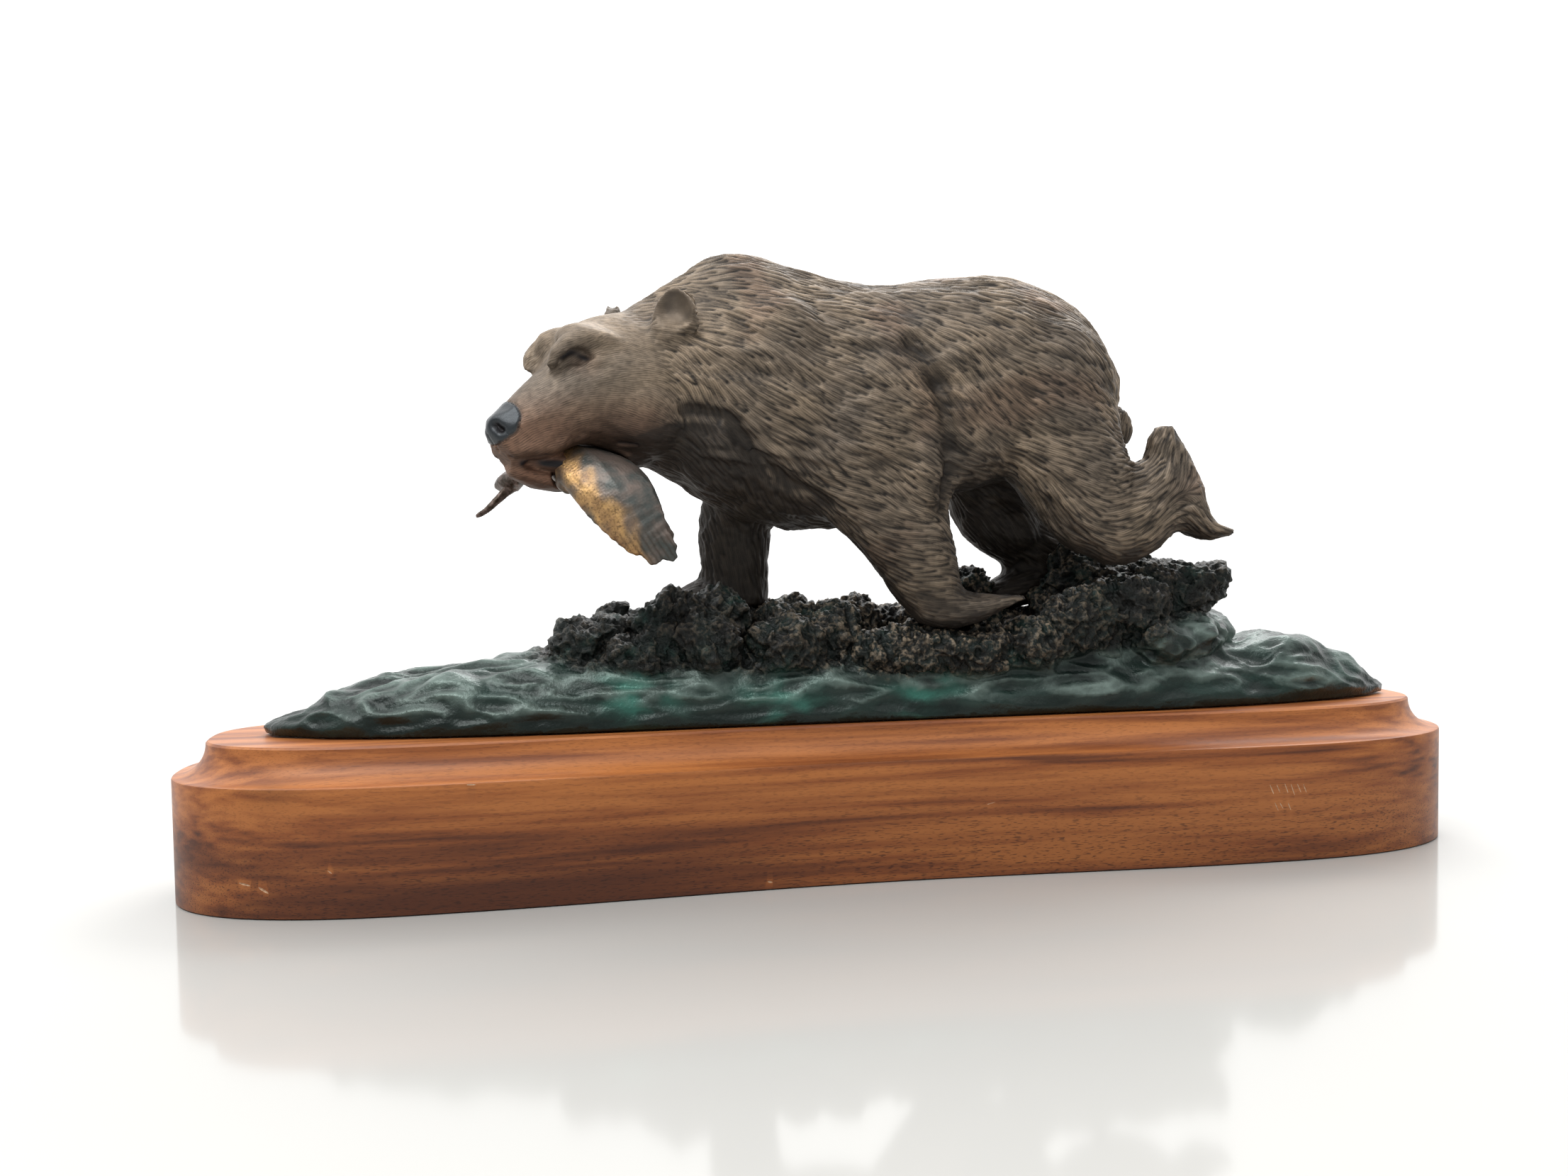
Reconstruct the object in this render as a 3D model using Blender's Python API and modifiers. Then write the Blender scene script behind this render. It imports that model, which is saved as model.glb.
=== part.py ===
"""A small patinated bronze: a brown bear walks over wet rocks with a salmon in its jaws.

Four separate pieces, each its own object:
    walnut_plinth          waisted plank with rounded ends and a cove moulding
    rock_and_water_ground  cast stream bed: a bank of water, heaped rocks and a broken log
    bear                   the walking bear, head lowered and turned to its left
    salmon                 the fish bent over the lower jaw

The bear faces -X, its left side faces -Y, and +Z is up. The origin is the middle of the plinth's
underside. Run it with blender --background --python part.py, or from the text editor.
"""

from math import cos, degrees, exp, pi, radians, sin, sqrt

import bmesh
import bpy
from mathutils import Euler, Matrix, Vector, noise

# Driving dimensions, in metres
PLINTH_LENGTH = 0.394
PLINTH_HEIGHT = 0.0445
PLINTH_DEPTH = 0.080
PLINTH_WAIST = 0.071
PLINTH_END_REACH = 0.074
PLINTH_END_POWER = 2.5
COVE_WIDTH = 0.0098
COVE_HEIGHT = 0.0095
PLINTH_EDGE = 0.0006

GROUND_LENGTH = 0.356
GROUND_DEPTH = 0.056
GROUND_SHIFT = 0.005
GROUND_EDGE = 0.0030

BEAR_LENGTH = 0.226
SALMON_LENGTH = 0.068

GAP = 0.0003

# The bear's pose is drawn on a grid: so many steps from its nose to its hind toes.
# Grid heights are above the plinth's top, and grid x and y start over the plinth's middle.
BEAR_STEPS = 226.0
BEAR_STEP = BEAR_LENGTH / BEAR_STEPS
HEAD_TURN = radians(27)
HEAD_JOINT = (-58.0, -3.0)

# The salmon is drawn on the same grid, round the bear's jaw, and scaled from there.
SALMON_STEPS = 68.0
SALMON_STEP = SALMON_LENGTH / SALMON_STEPS
SALMON_JAW = (-81.6, -14.0, 77.0)
SALMON_GILL = (-84.4, -24.0, 73.2)

# The ground's length and heights are drawn in steps too, and its depth from -1 to 1.
GROUND_STEPS = 356.0
GROUND_STEP = GROUND_LENGTH / GROUND_STEPS
GROUND_WAIST = 0.86
GROUND_FLARE = 1.02
GROUND_COLUMNS = 120
GROUND_ROWS = 26

# How fine the bodies are
VOXEL = 0.0013
BEAR_TRIANGLES = 5000
GROUND_TRIANGLES = 2050
SALMON_TRIANGLES = 640
OUTLINE_STEPS = 12
COVE_STEPS = 4
RING_SIDES = 24
RUN_STEPS = 4

# How far the cutters of each seat stand off, in gaps: a grown body falls short in sharp creases
CUT_SHARES = (1.5, 0.8)

# Fur locks: the coarse swell of the coat, in grid steps
LOCK_LENGTH = 20.0
LOCK_WIDTH = 6.5
LOCK_DEPTH = 0.75

# Ripples on the water and the breaking of the rocks, in grid steps and shares of a radius
RIPPLE_LENGTH = 17.0
RIPPLE_DEPTH = 2.6
CHOP_LENGTH = 6.0
CHOP_DEPTH = 1.0
ROCK_SWELL = 0.32
ROCK_CHIP = 0.20

UP = Vector((0, 0, 1))


def clear_scene():
    """Removes every object, so that only this model is left."""
    for thing in list(bpy.data.objects):
        bpy.data.objects.remove(thing, do_unlink=True)


def collection(name, hidden=False):
    """A new collection in the scene."""
    made = bpy.data.collections.new(name)
    made.hide_render = hidden
    bpy.context.scene.collection.children.link(made)
    return made


def material(name, colour, roughness, metallic):
    """A plain Principled material."""
    made = bpy.data.materials.new(name)
    made.use_nodes = True
    shader = made.node_tree.nodes["Principled BSDF"]
    shader.inputs["Base Color"].default_value = (*colour, 1.0)
    shader.inputs["Roughness"].default_value = roughness
    shader.inputs["Metallic"].default_value = metallic
    return made


def object_from(bm, name, group):
    """Turns a bmesh into an object in the group, with its faces pointing out."""
    bmesh.ops.recalc_face_normals(bm, faces=bm.faces)
    mesh = bpy.data.meshes.new(name)
    bm.to_mesh(mesh)
    bm.free()
    thing = bpy.data.objects.new(name, mesh)
    group.objects.link(thing)
    return thing


def skin(bm, rings):
    """A closed skin through rings of points, with both ends capped."""
    rows = [[bm.verts.new(point) for point in ring] for ring in rings]
    for row, following in zip(rows, rows[1:]):
        for i in range(len(row)):
            j = (i + 1) % len(row)
            bm.faces.new((row[i], row[j], following[j], following[i]))
    bm.faces.new(rows[0][::-1])
    bm.faces.new(rows[-1])


def between(values, t):
    """Catmull-Rom value at t, where t counts whole stations from the first."""
    last = len(values) - 1
    i = min(int(t), last - 1)
    f = t - i
    a, b, c, d = (values[max(0, min(last, i + k))] for k in (-1, 0, 1, 2))
    return b + 0.5 * f * (c - a + f * (2 * a - 5 * b + 4 * c - d + f * (3 * (b - c) + d - a)))


def smooth_stations(stations, steps=RUN_STEPS):
    """The stations, each a row of numbers, with smooth ones filled in between."""
    columns = list(zip(*stations))
    count = (len(stations) - 1) * steps
    return [[between(column, k / steps) for column in columns] for k in range(count + 1)]


def trunk(bm, stations, place, widest=0.46):
    """A body drawn by upright sections: (along, top, bottom, half width, side shift, ridge) each.

    place turns (along, side, height) into a point. ridge is how much the upper half narrows
    towards the spine, and widest is the height of the fullest part as a share of the section.
    """
    rings = []
    for along, top, bottom, half, shift, ridge in smooth_stations(stations):
        middle = bottom + widest * (top - bottom)
        ring = []
        for i in range(RING_SIDES):
            angle = 2 * pi * i / RING_SIDES
            rise = sin(angle)
            reach = top - middle if rise > 0 else middle - bottom
            side = half * cos(angle) * (1 - ridge * max(rise, 0) ** 2)
            ring.append(place(along, shift + side, middle + reach * rise))
        rings.append(ring)
    skin(bm, rings)


def limb(bm, stations, place, across=Vector((0, 1, 0))):
    """A limb along a path: (x, y, z, half thickness in the side view, half width) each."""
    rows = smooth_stations(stations)
    points = [place(*row[:3]) for row in rows]
    rings = []
    for i, row in enumerate(rows):
        ahead = points[min(i + 1, len(points) - 1)]
        behind = points[max(i - 1, 0)]
        out = (ahead - behind).cross(across).normalized()
        side = out.cross(ahead - behind).normalized()
        thick = (place(*row[:2], row[2] + row[3]) - points[i]).length
        wide = (place(*row[:2], row[2] + row[4]) - points[i]).length
        rings.append(
            [
                points[i] + out * thick * cos(2 * pi * k / RING_SIDES)
                + side * wide * sin(2 * pi * k / RING_SIDES)
                for k in range(RING_SIDES)
            ]
        )
    skin(bm, rings)


def mass(bm, centre, radii, turn=(0, 0, 0)):
    """An ellipsoid of muscle or rock, its radii along axes turned by degrees."""
    turned = Euler([radians(angle) for angle in turn]).to_matrix().to_4x4()
    matrix = Matrix.Translation(centre) @ turned @ Matrix.Diagonal((*radii, 1))
    bmesh.ops.create_icosphere(bm, subdivisions=3, radius=1, matrix=matrix)


def melted(thing, voxel, rounds):
    """The object's overlapping bodies as one body with softened joins, as a new mesh."""
    remesh = thing.modifiers.new("One body", "REMESH")
    remesh.mode = "VOXEL"
    remesh.voxel_size = voxel
    soften = thing.modifiers.new("Soft joins", "SMOOTH")
    soften.factor = 0.5
    soften.iterations = rounds
    graph = bpy.context.evaluated_depsgraph_get()
    mesh = bpy.data.meshes.new_from_object(thing.evaluated_get(graph))
    thing.modifiers.clear()
    thing.data = mesh
    return mesh


def thinned(thing, triangles):
    """Leaves about so many triangles, most of them where the form turns."""
    mesh = thing.data
    mesh.calc_loop_triangles()
    thin = thing.modifiers.new("Fewer faces", "DECIMATE")
    thin.ratio = min(1.0, triangles / len(mesh.loop_triangles))
    thin.use_collapse_triangulate = True
    graph = bpy.context.evaluated_depsgraph_get()
    thing.data = bpy.data.meshes.new_from_object(thing.evaluated_get(graph))
    thing.modifiers.clear()


def swollen_copy(thing, amount, group):
    """A copy grown by an amount all over, to cut clearance for the thing in its neighbour."""
    copy = bpy.data.objects.new(thing.name + "_grown", thing.data.copy())
    group.objects.link(copy)
    copy.location = thing.location
    copy.hide_render = True
    copy.display_type = "WIRE"
    grow = copy.modifiers.new("Clearance", "DISPLACE")
    grow.strength = amount
    grow.mid_level = 0.0
    return copy


def cut_seat(thing, neighbour, group):
    """Cuts the neighbour's seat out of the thing, a gap wide, and the gap again in its creases."""
    for share in CUT_SHARES:
        cutter = swollen_copy(neighbour, share * GAP, group)
        boolean = thing.modifiers.new("Seat of " + cutter.name, "BOOLEAN")
        boolean.operation = "DIFFERENCE"
        boolean.object = cutter
        boolean.solver = "EXACT"
        boolean.use_self = True


def finish(thing, look):
    """Gives the thing its material and smooth shading across shallow edges."""
    thing.data.materials.clear()
    thing.data.materials.append(look)
    thing.data.shade_smooth()


def plinth_edge():
    """One quarter turn after another of the plinth's widest outline, as plan points."""
    straight = PLINTH_LENGTH / 2 - PLINTH_END_REACH
    bulge = PLINTH_DEPTH / 2
    dip = bulge - PLINTH_WAIST / 2
    quarter = []
    for i in range(OUTLINE_STEPS):
        x = straight * i / OUTLINE_STEPS
        quarter.append((x, bulge - dip * (1 + cos(pi * x / straight)) / 2))
    for i in range(OUTLINE_STEPS + 1):
        angle = pi / 2 * i / OUTLINE_STEPS
        x = straight + PLINTH_END_REACH * sin(angle) ** (2 / PLINTH_END_POWER)
        quarter.append((x, bulge * cos(angle) ** (2 / PLINTH_END_POWER)))
    right = quarter + [(x, -y) for x, y in quarter[-2:0:-1]]
    return right + [(-x, -y) for x, y in right]


def plinth_ring(inset, height):
    """The plinth's outline at one height, drawn in square to its edge by an inset."""
    edge = [Vector((x, y, 0)) for x, y in plinth_edge()]
    ring = []
    for i, point in enumerate(edge):
        along = edge[(i + 1) % len(edge)] - edge[i - 1]
        out = Vector((-along.y, along.x, 0)).normalized()
        ring.append(point - out * inset + UP * height)
    return ring


def build_plinth(group, look):
    """The walnut plank: upright sides, a narrow rounded lip and a hollow cove up to the rim."""
    lip = PLINTH_HEIGHT - COVE_HEIGHT
    rings = [plinth_ring(0, 0), plinth_ring(0, lip - PLINTH_EDGE)]
    rings.append(plinth_ring(PLINTH_EDGE, lip))
    for i in range(1, COVE_STEPS + 1):
        angle = pi / 2 * i / COVE_STEPS
        inset = PLINTH_EDGE + (COVE_WIDTH - PLINTH_EDGE) * sin(angle)
        rings.append(plinth_ring(inset, PLINTH_HEIGHT - COVE_HEIGHT * cos(angle)))
    bm = bmesh.new()
    skin(bm, rings)
    plinth = object_from(bm, "walnut_plinth", group)
    finish(plinth, look)
    plinth.data.set_sharp_from_angle(angle=radians(35))
    return plinth


def on_bear(x, y, z):
    """A point of the bear's pose grid, as a place in its own frame over the plinth's top."""
    return Vector((x, y, z)) * BEAR_STEP


def on_head(along, side, height):
    """A grid point of the turned head: along its nose line, to its own left, and up."""
    x = HEAD_JOINT[0] - along * cos(HEAD_TURN) + side * sin(HEAD_TURN)
    y = HEAD_JOINT[1] - along * sin(HEAD_TURN) - side * cos(HEAD_TURN)
    return on_bear(x, y, height)


def on_body(along, side, height):
    """A grid point of the trunk, whose side is counted to the bear's left."""
    return on_bear(along, -side, height)


def add_trunk(bm):
    """Neck, high shoulder hump, dipped back, deep chest and rounded rump."""
    trunk(
        bm,
        [
            (-66, 124.0, 80, 18.0, 5, 0.55),
            (-55, 131.0, 73, 21.0, 3, 0.58),
            (-44, 138.4, 66, 24.5, 1, 0.52),
            (-32, 141.8, 60, 27.5, 0, 0.40),
            (-18, 138.4, 57, 29.0, 0, 0.28),
            (-4, 134.4, 57, 29.5, 0, 0.20),
            (12, 132.3, 61, 30.0, 0, 0.14),
            (30, 134.6, 66, 30.0, 0, 0.12),
            (47, 136.0, 70, 30.0, 0, 0.14),
            (64, 132.0, 73, 28.0, 0, 0.16),
            (76, 124.5, 77, 24.0, 0, 0.18),
            (84, 113.5, 84, 16.5, 0, 0.20),
            (88, 102.0, 91, 7.0, 0, 0.20),
        ],
        on_body,
    )


def add_head(bm):
    """Skull and muzzle, cheeks, open lower jaw and nose pad."""
    trunk(
        bm,
        [
            (-10, 123.0, 77.0, 20.0, 0, 0.20),
            (4, 122.8, 77.0, 20.5, 0, 0.20),
            (15, 121.5, 77.5, 19.5, 0, 0.20),
            (24, 118.8, 81.5, 16.5, 0, 0.22),
            (31, 113.0, 80.0, 13.2, 0, 0.26),
            (37, 105.0, 78.8, 11.2, 0, 0.30),
            (43, 99.2, 78.8, 9.8, 0, 0.26),
            (48.5, 93.6, 78.6, 8.0, 0, 0.20),
            (51.5, 89.5, 80.5, 5.2, 0, 0.10),
        ],
        on_head,
    )
    trunk(
        bm,
        [
            (6, 88.0, 76.0, 12.5, 0, 0),
            (15, 83.0, 73.5, 11.0, 0, 0),
            (26, 75.6, 69.6, 8.6, 0, 0),
            (36, 75.0, 69.0, 7.0, 0, 0),
            (44, 76.4, 71.2, 5.2, 0, 0),
            (48.5, 76.2, 73.2, 3.0, 0, 0),
        ],
        on_head,
    )
    turn = 180 + degrees(HEAD_TURN)
    mass(bm, on_head(50.2, 0, 86.6), Vector((4.2, 5.4, 4.6)) * BEAR_STEP, (0, 0, turn))
    for side in (1, -1):
        mass(bm, on_head(8, side * 12, 93), Vector((14, 9.5, 14)) * BEAR_STEP, (0, 0, turn))
        mass(bm, on_head(21, side * 11.5, 100.5), Vector((10, 5.4, 5.0)) * BEAR_STEP, (0, 12, turn))
        mass(bm, on_head(2, side * 14.0, 112.5), Vector((8.0, 6.5, 9.0)) * BEAR_STEP, (0, 0, turn))
        mass(bm, on_head(27.5, side * 6.0, 111.8), Vector((8.5, 6.0, 5.8)) * BEAR_STEP, (0, 0, turn))
        mass(bm, on_head(40, side * 6.0, 82.4), Vector((9, 4.2, 4.6)) * BEAR_STEP, (0, 10, turn))
        mass(bm, on_head(47, side * 4.2, 80.8), Vector((4.0, 3.6, 3.6)) * BEAR_STEP, (0, 10, turn))


def add_brow(bm, side):
    """The arched ridge over one eye, from the bridge of the nose back to the temple."""
    limb(
        bm,
        [
            (38.2, side * 6.4, 103.4, 1.0, 1.2),
            (36.0, side * 8.6, 107.8, 2.3, 2.6),
            (30.0, side * 10.2, 111.8, 3.0, 3.1),
            (23.0, side * 11.6, 112.0, 2.8, 3.0),
            (17.0, side * 12.6, 109.6, 1.8, 2.0),
        ],
        on_head,
        across=on_head(0, -1, 0) - on_head(0, 0, 0),
    )


def add_ear(bm, side):
    """One rounded, cupped ear, its hollow facing forwards and out."""
    facing = Vector((0.70, 0.68 * side, 0.20)).normalized()
    upright = (UP - facing * facing.dot(UP)).normalized()
    across = upright.cross(facing)
    centre = Vector((2.4, 19.2 * side, 120.6))
    for vert in bmesh.ops.create_icosphere(bm, subdivisions=3, radius=1)["verts"]:
        front = vert.co.x
        radius = sqrt(vert.co.y ** 2 + vert.co.z ** 2)
        cup = 3.2 * (1 - radius ** 2) if front > 0 else 0.0
        narrow = 1 - 0.12 * max(-vert.co.z, 0)
        spread = across * vert.co.y * 6.4 * narrow + upright * vert.co.z * 7.0
        vert.co = on_head(*(centre + facing * (front * 2.5 - cup) + spread))


def add_legs(bm):
    """Far foreleg planted, near foreleg pushing off its wrist, hind legs apart."""
    limb(
        bm,
        [
            (-22, 15, 92, 17, 12),
            (-27, 15, 76, 14.5, 12),
            (-31, 15, 62, 12.2, 10.5),
            (-32, 15, 50, 11.2, 9.5),
            (-32, 15, 41, 11.2, 9.5),
            (-33, 15, 34, 12.0, 10),
        ],
        on_bear,
    )
    limb(
        bm,
        [(-24, 15, 37, 6.0, 9), (-36, 15, 38, 6.0, 10), (-46, 15, 36, 4.6, 10), (-52, 15, 34, 2.4, 8)],
        on_bear,
    )
    limb(
        bm,
        [
            (-14, -13, 96, 23, 15),
            (-2, -15.5, 84, 23, 14.5),
            (7, -17, 71, 20, 12.5),
            (14, -18, 59, 15.8, 11),
            (18.5, -18, 48, 12.6, 10),
            (22, -18, 40, 11.0, 9.5),
            (26, -18, 34, 8.0, 9),
        ],
        on_bear,
    )
    limb(
        bm,
        [
            (20, -18, 36, 8.0, 8.5),
            (27, -18, 33.5, 7.6, 9),
            (34, -18, 32.6, 5.6, 9),
            (41, -18, 33.6, 3.8, 8.5),
            (46, -18, 34.6, 2.0, 7),
        ],
        on_bear,
    )
    limb(
        bm,
        [
            (60, -14, 97, 25, 15),
            (65, -16, 82, 20.0, 14),
            (71, -17, 69, 17.5, 12.5),
            (77, -17.5, 60, 15.0, 11),
            (82, -18, 54, 10.8, 9),
        ],
        on_bear,
    )
    limb(
        bm,
        [
            (76, -17.5, 55, 10.5, 9.5),
            (84, -18, 56.0, 11.6, 9.5),
            (91, -18, 61.5, 12.4, 9),
            (96, -18, 68.0, 12.4, 8.5),
            (98, -18, 74, 10.0, 8),
        ],
        on_bear,
    )
    limb(
        bm,
        [
            (97.4, -18, 88.0, 3.0, 4.5),
            (97.8, -18, 82, 5.6, 6.5),
            (99.6, -18, 73, 9.0, 7.5),
            (103.0, -18, 64.5, 8.2, 8.5),
            (108.2, -18, 57.5, 5.2, 9),
            (113.0, -18, 54.6, 3.4, 8.5),
            (116.0, -18, 54.0, 1.6, 6),
        ],
        on_bear,
    )
    limb(
        bm,
        [
            (70, 13, 95, 25, 14),
            (58, 15, 78, 19, 13),
            (52, 16, 64, 13.0, 11),
            (60, 16.5, 56, 11.5, 10),
            (70, 16.5, 50, 10.0, 9.5),
            (77, 16.5, 46.5, 8.0, 8.5),
        ],
        on_bear,
    )
    limb(
        bm,
        [(79, 16.5, 47, 6.0, 7), (70, 16.5, 40.5, 7.5, 9), (60, 16.5, 36, 6.6, 10), (51, 16.5, 33.5, 4.0, 9.5)],
        on_bear,
    )


def add_muscles(bm):
    """Shoulder blades, elbow, haunches and the flank's belly swell."""
    for side in (-1, 1):
        mass(bm, on_bear(-20, side * 15, 104), Vector((19, 12.5, 24)) * BEAR_STEP, (0, -14, 0))
        mass(bm, on_bear(60, side * 14, 96), Vector((24, 16, 27)) * BEAR_STEP, (0, 10, 0))
        mass(bm, on_bear(28, side * 14, 88), Vector((30, 17, 21)) * BEAR_STEP)
    mass(bm, on_bear(4, -19, 86), Vector((22, 12.5, 22)) * BEAR_STEP, (0, 20, 0))
    mass(bm, on_bear(19, -19.5, 74), Vector((12, 11.5, 17)) * BEAR_STEP, (0, 10, 0))
    mass(bm, on_bear(-36, -10, 86), Vector((20, 16, 20)) * BEAR_STEP, (0, 20, 0))
    mass(bm, on_bear(88.5, 2, 90), Vector((4.0, 4.5, 8)) * BEAR_STEP, (0, -8, 0))


def add_toes(bm):
    """Toes with long claws on the four paws: trailing, planted, trailing and planted."""
    paws = (
        ((46, -18, 34.6), (1, 0, 0.10), 6.4, 4.6),
        ((-50, 15, 35.0), (-1, 0, -0.35), 7.6, 5.0),
        ((114.4, -18, 54.6), (1, 0, -0.25), 7.0, 3.2),
        ((49, 16.5, 33.8), (-1, 0, -0.1), 8.0, 2.0),
    )
    for middle, heading, spread, claw in paws:
        forward = Vector(heading).normalized()
        for i in range(5):
            share = i / 2 - 1
            centre = Vector(middle) + Vector((0, share * spread, 0)) - forward * 2.2 * share ** 2
            mass(bm, on_bear(*centre), Vector((3.4, 1.9, 1.9)) * BEAR_STEP)
            tip = centre + forward * (2.5 + claw)
            root = centre + forward * 1.5
            limb(
                bm,
                [(*root, 1.5, 1.3), (*((root + tip) / 2 + UP * 0.5), 1.4, 1.2), (*tip, 1.0, 0.9)],
                on_bear,
            )


def press(mesh, centre, radius, depth):
    """Presses a soft hollow into the mesh round a place, or raises it with a negative depth."""
    for vert in mesh.vertices:
        share = (vert.co - centre).length / radius
        if share < 2.2:
            vert.co -= vert.normal * depth * exp(-share * share * 1.6)


def coat_direction(x, z):
    """Which way the fur lies in the side view, at a grid place: back and down, then down the legs."""
    low = min(max((84 - z) / 30, 0), 1)
    return Vector((1 - 0.45 * low, 0, -0.32 - 0.75 * low)).normalized()


def comb_locks(mesh):
    """Raises the coat's coarse locks: long swells that lie along the fur, none on the face."""
    moved = []
    for vert in mesh.vertices:
        grid = vert.co / BEAR_STEP
        lie = coat_direction(grid.x, grid.z)
        over = Vector((-lie.z, 0, lie.x))
        place = Vector((grid.dot(lie) / LOCK_LENGTH, grid.y / LOCK_WIDTH, grid.dot(over) / LOCK_WIDTH))
        wave = noise.noise(place) + 0.4 * noise.noise(place * 2.1)
        furred = min(max((grid.x + 70) / 18, 0), 1) * min(max((grid.z - 40) / 14, 0), 1)
        moved.append(vert.co + vert.normal * wave * LOCK_DEPTH * furred * BEAR_STEP)
    for vert, place in zip(mesh.vertices, moved):
        vert.co = place


def build_bear(group, look):
    """The bear as one cast body."""
    bm = bmesh.new()
    add_trunk(bm)
    add_legs(bm)
    add_muscles(bm)
    add_head(bm)
    bear = object_from(bm, "bear", group)
    bm = bmesh.new()
    bm.from_mesh(melted(bear, VOXEL, 10))
    add_toes(bm)
    for side in (1, -1):
        add_brow(bm, side)
        add_ear(bm, side)
    bm.to_mesh(bear.data)
    bm.free()
    mesh = melted(bear, VOXEL * 0.8, 2)
    for side in (1, -1):
        press(mesh, on_head(32.0, side * 10.8, 106.0), 2.8 * BEAR_STEP, 1.3 * BEAR_STEP)
    press(mesh, on_head(38, 0, 106.5), 4.0 * BEAR_STEP, BEAR_STEP)
    comb_locks(mesh)
    thinned(bear, BEAR_TRIANGLES)
    finish(bear, look)
    bear.location.z = PLINTH_HEIGHT
    return bear


def on_salmon(x, y, z):
    """A grid point of the salmon."""
    return on_bear(*SALMON_JAW) + (Vector((x, y, z)) - Vector(SALMON_JAW)) * SALMON_STEP


def salmon_body():
    """The salmon's run from snout to tail root: x, y, z, half depth and half thickness."""
    return (
        (-105.0, 9.0, 71.5, 1.6, 1.5),
        (-101.5, 5.0, 72.8, 4.2, 3.2),
        (-96.0, -1.0, 74.4, 5.4, 4.2),
        (-88.5, -7.5, 75.8, 7.2, 4.8),
        (-82.4, -15.4, 76.8, 9.8, 6.0),
        (-76.6, -23.5, 74.2, 10.8, 5.6),
        (-71.0, -30.5, 67.8, 10.6, 4.9),
        (-65.6, -34.0, 59.6, 8.4, 3.9),
        (-61.6, -35.5, 53.8, 6.0, 2.6),
    )


def build_salmon(group, look):
    """The salmon: a flat-sided body bent over the jaw, a forked tail and a hooked lower jaw."""
    bm = bmesh.new()
    rows = smooth_stations(salmon_body())
    points = [on_salmon(*row[:3]) for row in rows]
    rings = []
    for i, row in enumerate(rows):
        ahead = points[min(i + 1, len(points) - 1)]
        behind = points[max(i - 1, 0)]
        along = (ahead - behind).normalized()
        lean = min(max(i / (len(rows) - 1) * 2 - 0.6, 0), 1)
        back = Vector((0.93, 0.36 * (1 - lean), 0.20 * lean))
        back = (back - along * back.dot(along)).normalized()
        flank = along.cross(back)
        ring = []
        for k in range(RING_SIDES):
            angle = 2 * pi * k / RING_SIDES
            deep = row[3] * SALMON_STEP * cos(angle)
            thick = row[4] * SALMON_STEP * sin(angle) * (1 - 0.25 * abs(cos(angle)))
            ring.append(points[i] + back * deep + flank * thick)
        rings.append(ring)
    skin(bm, rings)
    for tip, spread in (((-61.0, -36.5, 48.2), -3.4), ((-55.8, -36.0, 49.2), 3.0)):
        root = (-61.0 + spread * 0.55, -35.6, 55.0)
        middle = [(a + b) / 2 for a, b in zip(root, tip)]
        limb(bm, [(*root, 3.6, 1.5), (*middle, 3.1, 1.2), (*tip, 1.3, 0.8)], on_salmon)
    limb(
        bm,
        [
            (-99.0, 3.0, 73.0, 2.4, 1.6),
            (-103.5, 1.0, 68.6, 1.5, 1.2),
            (-107.5, -1.5, 64.6, 1.15, 1.0),
            (-111.0, -3.5, 62.2, 0.9, 0.9),
        ],
        on_salmon,
    )
    limb(
        bm,
        [(-62.2, -33.0, 61.0, 2.0, 1.4), (-57.6, -33.6, 57.6, 1.6, 1.0), (-55.8, -34.2, 55.4, 0.8, 0.7)],
        on_salmon,
    )
    mass(bm, on_salmon(*SALMON_GILL), Vector((4.1, 2.8, 5.2)) * SALMON_STEP, (0, -14, 0))
    salmon = object_from(bm, "salmon", group)
    melted(salmon, VOXEL * 0.55, 1)
    thinned(salmon, SALMON_TRIANGLES)
    finish(salmon, look)
    salmon.location.z = PLINTH_HEIGHT
    return salmon


def bank_height(x, y):
    """Height of the stream bank over the plinth at a grid place, and nothing past its edge."""
    stations = (
        (-178, 0.0),
        (-168, 3.0),
        (-156, 9.0),
        (-140, 12.5),
        (-118, 15.5),
        (-96, 17.0),
        (-70, 18.5),
        (-30, 19.5),
        (20, 18.5),
        (70, 18.0),
        (104, 15.5),
        (122, 13.5),
        (136, 18.5),
        (148, 15.0),
        (160, 9.0),
        (178, 0.0),
    )
    for (x0, h0), (x1, h1) in zip(stations, stations[1:]):
        if x0 <= x <= x1:
            share = (x - x0) / (x1 - x0)
            height = h0 + (h1 - h0) * share * share * (3 - 2 * share)
            break
    else:
        return 0.0
    return height * max(1 - abs(y) ** 3.2, 0) ** 0.8


def bank_depth(x):
    """Half the bank's depth at a grid place along it, as a share of its fullest."""
    end = GROUND_STEPS / 2
    round_end = sqrt(max(1 - (abs(x) / end) ** 3.0, 0.0))
    waist = GROUND_WAIST + (1 - GROUND_WAIST) * (1 - cos(2 * pi * x / GROUND_STEPS)) / 2
    return waist * round_end


def on_ground(x, y, z):
    """A grid point of the ground, its y from -1 at the front edge to 1 at the back."""
    return Vector((GROUND_SHIFT + x * GROUND_STEP, y * GROUND_DEPTH / 2, z * GROUND_STEP))


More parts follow.
